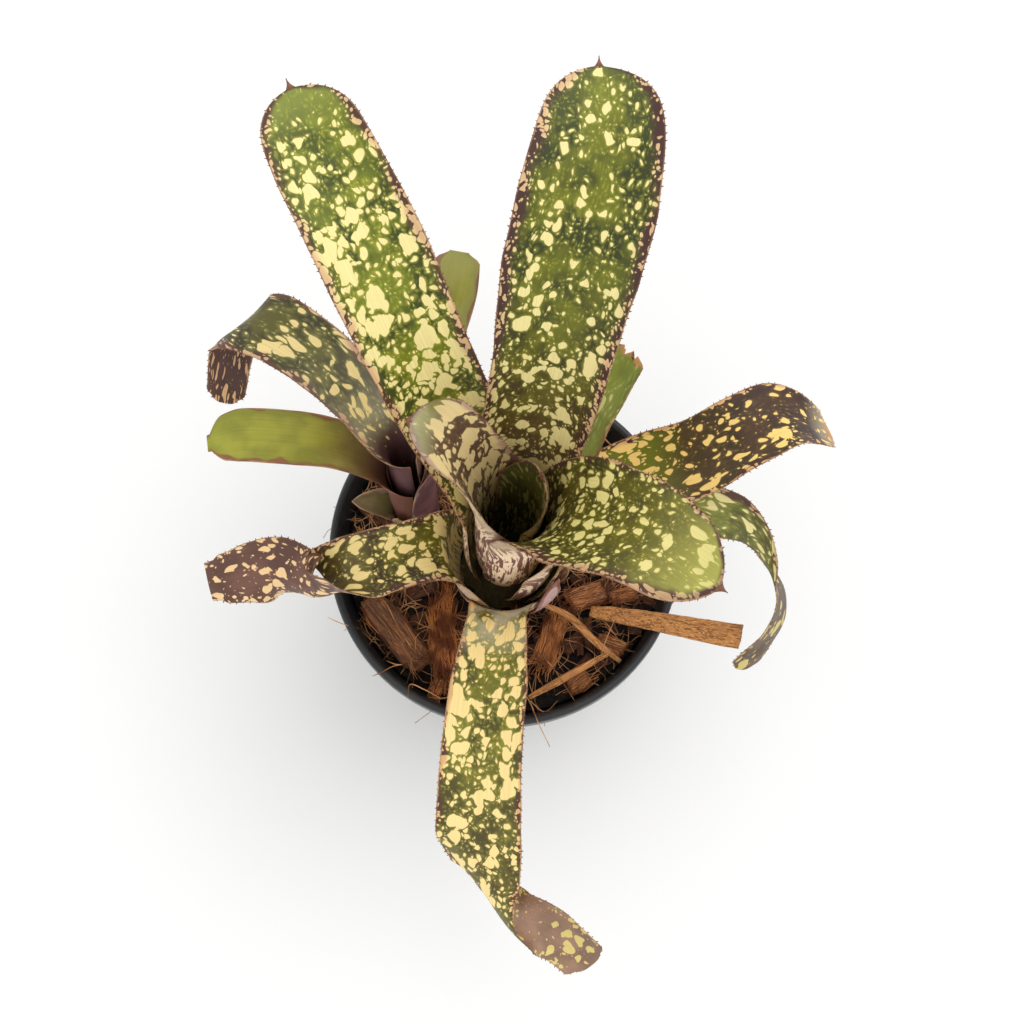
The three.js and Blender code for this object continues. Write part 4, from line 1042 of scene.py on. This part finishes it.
def grainSkin(name, dark, middle, light, dust, strand=1.0):
    # fibrous husk or bark, with strands along the piece's own length
    skin = Skin(name, 0.82)
    grain = skin.attribute("grain")
    strands = skin.noise(skin.vector("MULTIPLY", grain, (0.04, 1.5 * strand, 1.5 * strand)), 1.0, 3.0, 0.6)[0]
    hairs = skin.noise(skin.vector("MULTIPLY", grain, (0.07, 5.0 * strand, 5.0 * strand)), 1.0, 1.0)[0]
    patches = skin.noise(grain, 0.2, 2.0)[0]
    tone = skin.mix(skin.ramp(strands, 0.38, 0.58), tint(*dark), tint(*middle))
    tone = skin.mix(skin.ramp(hairs, 0.5, 0.68), tone, tint(*light))
    tone = skin.mix(skin.times(skin.ramp(patches, 0.5, 0.7), 0.6), tone, tint(*dust))
    skin.colour(tone)
    skin.bump(skin.plus(strands, skin.times(hairs, 0.5)), 0.8, 0.0009)
    return skin.material


def crumbMesh(name, size, seed):
    # a split chip of bark: a rough block, longer than wide
    work = bmesh.new()
    bmesh.ops.create_cube(work, size=1.0)
    bmesh.ops.subdivide_edges(work, edges=work.edges, cuts=1, use_grid_fill=True)
    for v in work.verts:
        shift = noise.noise_vector(v.co * 2.3 + Vector((seed, 0, 0))) * 0.28
        v.co = Vector([c * (1 + 0.12 * s) for c, s in zip(v.co + shift, shift)])
        v.co = Vector((v.co.x * size[0], v.co.y * size[1], v.co.z * size[2])) * mm
    mesh = bpy.data.meshes.new(name)
    work.to_mesh(mesh)
    work.free()
    keepVector(mesh, "grain", [tuple(v.co / mm) for v in mesh.vertices])
    return mesh


def litterTree():
    made = PieceTree("barkLitter", Density="Float", Crumbs="Collection", Smallest="Float", Largest="Float")
    given = made.given
    kinds = made.first("GeometryNodeCollectionInfo", {
        "Collection": given["Crumbs"], "Separate Children": True, "Reset Children": True})
    turn = made.random((-0.4, -0.4, 0), (0.4, 0.4, 6.283), True)
    size = made.random(given["Smallest"], given["Largest"])
    return made.close(made.realized(made.scatter(), kinds, turn, size, pick=True))


def fibreTree():
    made = PieceTree(
        "coirFibres", Density="Float", Length="Float", Thickness="Float", Lift="Float", Turn="Float",
        Spread="Float", Wander="Float")
    given = made.given
    start, end = [made.triple(made.times(given["Length"], half), 0.0, given["Lift"]) for half in (-0.5, 0.5)]
    strand = made.first("GeometryNodeCurvePrimitiveLine", {"Start": start, "End": end})
    split = made.first("GeometryNodeResampleCurve", {"Curve": strand, "Count": 9}, mode="COUNT")
    low = made.triple(-0.2, -0.12, made.minus(given["Turn"], given["Spread"]))
    high = made.triple(0.2, 0.12, made.plus(given["Turn"], given["Spread"]))
    turn = made.random(low, high, True)
    whole = made.realized(made.scatter(), split, turn, made.random(0.3, 1.25))

    # each fibre is bent by one slow swirl, less in height than sideways
    here = made.first("GeometryNodeInputPosition")
    swirl = made.node("ShaderNodeTexNoise", {"Vector": here, "Scale": 75.0, "Detail": 1.0}).outputs[1]
    reach = made.triple(given["Wander"], given["Wander"], made.times(given["Wander"], 0.3))
    shift = made.vector("MULTIPLY", made.vector("SUBTRACT", swirl, (0.5, 0.5, 0.42)), reach)
    bent = made.first("GeometryNodeSetPosition", {"Geometry": whole, "Offset": shift})
    ring = made.first("GeometryNodeCurvePrimitiveCircle", {"Resolution": 4, "Radius": given["Thickness"]})
    return made.close(made.first("GeometryNodeCurveToMesh", {
        "Curve": bent, "Profile Curve": ring, "Fill Caps": True}))


def fibreSkin(name, dark, light):
    skin = Skin(name, 0.75)
    kind = skin.noise(skin.here(), 160.0, 1.0)[0]
    skin.colour(skin.mix(skin.ramp(kind, 0.4, 0.6), tint(*dark), tint(*light)))
    return skin.material


def fillTopMesh(outer, rings, around, roughness):
    corners, faces = [(0.0, 0.0, float(fillHeight(0, 0)))], []
    for i in range(1, rings + 1):
        for cos, sin in circle(around):
            x, y = outer * i / rings * cos, outer * i / rings * sin
            bump = roughness * noise.fractal(Vector((x, y, 3)) * 0.45, 1.0, 2.0, 4)
            corners.append((x, y, float(fillHeight(x, y)) + bump - 0.6 * roughness))
    for k in range(around):
        faces.append((0, 1 + k, 1 + (k + 1) % around))
    for i in range(rings - 1):
        for k in range(around):
            a, b = 1 + i * around + k, 1 + i * around + (k + 1) % around
            faces.append((a, a + around, b + around, b))
    return corners, faces


coirTree = fibreTree()
coirTone = fibreSkin("coirSkin", (122, 72, 38), (206, 150, 96))


def makeFilling():
    outer = wallRadius(filling["top"]) - pot["wall"] - filling["gap"]
    around = filling["around"]
    corners, faces = fillTopMesh(outer, filling["rings"], around, filling["rough"])
    top = len(corners) - around
    foot = wallRadius(3) - pot["wall"] - 3
    first = len(corners)
    corners += [(foot * cos, foot * sin, filling["bottom"]) for cos, sin in circle(around)]
    for k in range(around):
        n = (k + 1) % around
        faces.append((top + k, first + k, first + n, top + n))
    faces.append(tuple(range(first, first + around))[::-1])
    mesh = meshFrom("filling", np.array(corners) * mm, faces)
    mesh.materials.append(soilSkin())
    made = newObject("growing_medium_fine", mesh)
    finishPiece(made, "medium", "growing_medium")

    # only the open top carries crumbs and fibres
    corners, faces = fillTopMesh(outer - filling["litterInset"], 16, 48, 0)
    clear = []
    for face in faces:
        x, y, _ = np.mean([corners[v] for v in face], axis=0)
        fromMother, fromPup = [math.hypot(x - p["foot"][0], y - p["foot"][1]) for p in (mother, pup)]
        if fromMother > filling["clearOfMother"] and fromPup > filling["clearOfPup"]:
            clear.append(face)
    ground = newObject("litterGround", meshFrom("litterGround", np.array(corners) * mm, clear))
    for polygon in ground.data.polygons:
        if polygon.normal.z < 0:
            ground.data.flip_normals()
            break
    noise.seed_set(filling["seed"])  # noise_vector draws its own offsets, so each run gives the same crumbs
    crumbs = bpy.data.collections.new("crumbs")
    for i, size in enumerate(crumbSizes):
        crumbs.objects.link(bpy.data.objects.new("crumb", crumbMesh("crumb", size, i * 7.3)))
    bark = grainSkin("crumbSkin", (36, 20, 12), (92, 52, 30), (146, 94, 58), (48, 34, 26))
    litter = runTree(ground, litterTree(), {
        "Density": float(filling["crumbs"]), "Crumbs": crumbs, "Smallest": filling["smallest"],
        "Largest": filling["largest"], "Seed": filling["seed"], "Material": bark})
    fibres = runTree(ground, coirTree, {
        "Density": float(filling["fibres"]), "Length": filling["fibreLength"] * mm,
        "Thickness": filling["fibreThickness"] * mm, "Lift": filling["fibreLift"] * mm, "Turn": 0.0,
        "Spread": 3.1416, "Wander": filling["wander"] * mm, "Seed": filling["seed"] + 1,
        "Material": coirTone})
    bpy.data.objects.remove(ground)
    finishPiece(newObject("bark_crumbs", litter), "bark")
    finishPiece(newObject("coir_fibres", fibres), "bark")
    print("crumbs", len(litter.polygons), "fibres", len(fibres.polygons))


makeFilling()
print("filling done")


# the larger pieces of bark and husk: the frame's own solids, split finer and torn along their grain,
# with loose fibres on top; turn in degrees, then fibres to a square metre, and their length in mm
huskTurns = {
    "husk_chip_front": (72, 700000, 11), "husk_chip_right": (20, 160000, 8),
    "husk_chip_far_right": (10, 150000, 6), "husk_chip_under_stick": (160, 120000, 8),
    "husk_chip_rim": (35, 60000, 6), "husk_bundle": (96, 900000, 13), "husk_chip_small": (70, 500000, 6),
    "husk_chip_back": (130, 160000, 8), "bark_slab": (128, 40000, 9), "bark_stick": (-14, 0, 0),
}
# depth of grooves and torn ends, and the fibre coat, in mm; edges stay sharp above sharp, in degrees
huskWear = {
    "groove": 0.24, "tear": 0.5, "tearFrom": 3, "sharp": 32, "fuzz": 0.09, "fuzzLift": 0.25, "fuzzWander": 4,
}
huskTone = grainSkin("huskSkin", (82, 44, 22), (170, 102, 54), (226, 160, 102), (128, 82, 52))
bundleTone = grainSkin("bundleSkin", (46, 18, 6), (118, 54, 18), (164, 90, 38), (84, 38, 14))
slabTone = grainSkin("slabSkin", (74, 46, 28), (138, 86, 54), (166, 114, 74), (80, 56, 42), 0.8)
stickTone = grainSkin("stickSkin", (138, 84, 42), (204, 140, 78), (232, 172, 104), (178, 120, 74), 0.7)
huskTones = {"husk_bundle": bundleTone, "bark_slab": slabTone, "bark_stick": stickTone}
orangeTone = fibreSkin("bundleFibre", (120, 64, 28), (206, 132, 70))


def makeHusk(node, turn, density, length):
    work = bmesh.new()
    work.from_mesh(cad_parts[node].data)
    bmesh.ops.remove_doubles(work, verts=work.verts, dist=0.00001)
    bmesh.ops.subdivide_edges(work, edges=work.edges, cuts=4, use_grid_fill=True)
    low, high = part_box(node)
    middle = (low + high) / 2
    back = Matrix.Rotation(-math.radians(turn), 3, "Z")
    work.normal_update()
    moves, places = [], []
    for v in work.verts:
        local = back @ (v.co - middle) / mm
        groove = noise.fractal(Vector((local.x * 0.10, local.y * 1.3, local.z * 1.3)), 1.0, 2.0, 3)
        tear = noise.noise(Vector((local.y * 1.9, local.z * 1.9, middle.x / mm)))
        torn = back.transposed() @ Vector((tear * huskWear["tear"], 0, 0))
        torn = torn * mm * min(1, abs(local.x) / huskWear["tearFrom"])
        moves.append(v.normal * groove * huskWear["groove"] * mm + torn)
        places.append(tuple(local))
    for v, move in zip(work.verts, moves):
        v.co += move
    mesh = bpy.data.meshes.new(node)
    work.to_mesh(mesh)
    work.free()
    mesh.polygons.foreach_set("use_smooth", [True] * len(mesh.polygons))
    mesh.set_sharp_from_angle(angle=math.radians(huskWear["sharp"]))
    keepVector(mesh, "grain", places)
    mesh.materials.append(huskTones.get(node, huskTone))
    made = newObject(node + "_fine", mesh)
    if density:
        fuzz = runTree(made, coirTree, {
            "Density": float(density), "Length": length * mm, "Thickness": huskWear["fuzz"] * mm,
            "Lift": huskWear["fuzzLift"] * mm, "Turn": math.radians(turn), "Spread": 0.3,
            "Wander": huskWear["fuzzWander"] * mm, "Seed": turn, "Material": orangeTone})
        mesh.materials.append(orangeTone)
        joinMeshes(mesh, [fuzz])
    finishPiece(made, "bark", node)


for node, values in huskTurns.items():
    makeHusk(node, *values)


# loose strands that lie over the chips and the rim: points, then half width and half thickness, in mm
looseStrands = (
    (((7.9, -47.3, 89), (20.4, -40.6, 91), (33.7, -33, 90)), 1.3, 0.35),
    (((12.4, -17.3, 93), (21.1, -21.5, 92.5), (29.5, -29.4, 91), (37.6, -35.6, 89)), 1.3, 0.4),
    (((5.5, -44, 88), (8.7, -50.5, 94), (10.7, -56, 96.4), (14.6, -63.5, 92)), 0.16, 0.16),
    (((-42.4, -41.3, 96.4), (-39.5, -40.1, 96.6), (-36, -38.1, 96), (-32.9, -37.2, 94)), 0.18, 0.18),
    (((-38.1, -35.7, 92), (-34.8, -37.3, 95), (-32.8, -37.4, 95.6)), 0.16, 0.16),
    (((-30.9, -47.9, 96.4), (-30.2, -43.9, 96), (-25.7, -45.5, 96), (-20, -48.4, 94)), 0.2, 0.2),
    (((-56.9, -22.3, 97), (-52.8, -24.1, 96.4), (-46.5, -25.3, 92)), 0.14, 0.14),
    (((30.8, -35.6, 91), (32.6, -29.8, 97), (36.5, -20.7, 98)), 0.14, 0.14),
    (((8.2, -48.4, 90), (13, -52.2, 91), (17.2, -48.4, 90)), 0.2, 0.2),
    (((-38.7, -16.2, 92), (-33.6, -26.3, 95), (-28.1, -34.4, 93)), 0.16, 0.16),
    (((28.8, 42.4, 89), (32.6, 38.4, 91), (37.2, 33.9, 89)), 0.18, 0.18),
    (((5, -29, 90), (14, -36.2, 93), (22.7, -48.4, 89)), 0.16, 0.16),
)


def strandMesh(points, wide, thick):
    centre, along = pathThrough(np.array(points, float), 8)
    sides, corners = 8, []
    for i, (place, ahead) in enumerate(zip(centre, along)):
        side = np.cross(ahead, (0, 0, 1.0))
        side /= np.linalg.norm(side)
        up = np.cross(side, ahead)
        taper = 0.55 + 0.45 * math.sin(math.pi * (i + 0.5) / len(centre))
        corners += [
            place + side * cos * wide * taper + up * sin * thick * taper for cos, sin in circle(sides)]
    mesh = meshFrom("strand", np.array(corners) * mm, ringFaces(len(centre), sides))
    mesh.materials.append(stickTone if wide > 1 else coirTone)
    turn = math.atan2(points[-1][1] - points[0][1], points[-1][0] - points[0][0])
    back = np.array(Matrix.Rotation(-turn, 3, "Z"))
    keepVector(mesh, "grain", (np.array(corners) - centre[0]) @ back.T)
    return mesh


for i, (points, wide, thick) in enumerate(looseStrands):
    finishPiece(newObject(f"loose_strand_{i + 1}", strandMesh(points, wide, thick)), "bark")


# the stems stay as the frame has them, with a woody skin
def stemSkin():
    skin = Skin("stemSkin", 0.8)
    fibre = skin.noise(skin.vector("MULTIPLY", skin.here(), (1.0, 1.0, 0.15)), 900.0, 3.0)[0]
    skin.colour(skin.mix(fibre, tint(60, 54, 34), tint(112, 102, 68)))
    skin.bump(fibre, 0.6, 0.0005)
    return skin.material


stemTone = stemSkin()
for node in ("stem", "pup_stem"):
    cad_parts[node].data.materials.clear()
    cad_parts[node].data.materials.append(stemTone)
print("bark and stems done")


# floor, light and camera
stage = {
    "floor": 0.96, "floorReach": 6, "floorDrop": 0.0005, "world": 0.99, "sun": 0.7, "sunWidth": 55,
    "sunFrom": (0.55, 0.4, 1.0), "lens": 84.68, "eye": (0.002433, -0.136951, 0.864506), "tilt": 11,
}


def makeStage():
    reach, level = stage["floorReach"], stage["floor"]
    corners = [(x * reach, y * reach, -stage["floorDrop"]) for x, y in ((-1, -1), (1, -1), (1, 1), (-1, 1))]
    floor = newObject("floor", meshFrom("floor", corners, [(0, 1, 2, 3)]))
    skin = Skin("floorPaint", 0.9)
    light, dark = [level, level, level * 0.992, 1], [level * 0.99, level * 0.99, level * 0.98, 1]
    skin.colour(skin.mix(skin.noise(skin.here(), 3.0, 2.0)[0], light, dark))
    floor.data.materials.append(skin.material)

    world = bpy.data.worlds.new("studio")
    bpy.context.scene.world = world
    world.use_nodes = True
    sky = world.node_tree.nodes["Background"]
    sky.inputs[0].default_value = (1, 1, 1, 1)
    sky.inputs[1].default_value = stage["world"]

    light = bpy.data.lights.new("sun", "SUN")
    light.energy = stage["sun"]
    light.angle = math.radians(stage["sunWidth"])
    made = newObject("sun", light)
    made.location = stage["sunFrom"]
    made.rotation_euler = (-Vector(stage["sunFrom"])).to_track_quat("-Z", "Y").to_euler()

    camera = bpy.data.cameras.new("camera")
    camera.sensor_width = 36
    camera.lens = stage["lens"]
    camera.clip_start = 0.01
    made = newObject("camera", camera)
    made.location = stage["eye"]
    made.rotation_euler = (math.radians(stage["tilt"]), 0, 0)
    bpy.context.scene.camera = made
    bpy.context.scene.view_settings.view_transform = "Standard"


makeStage()
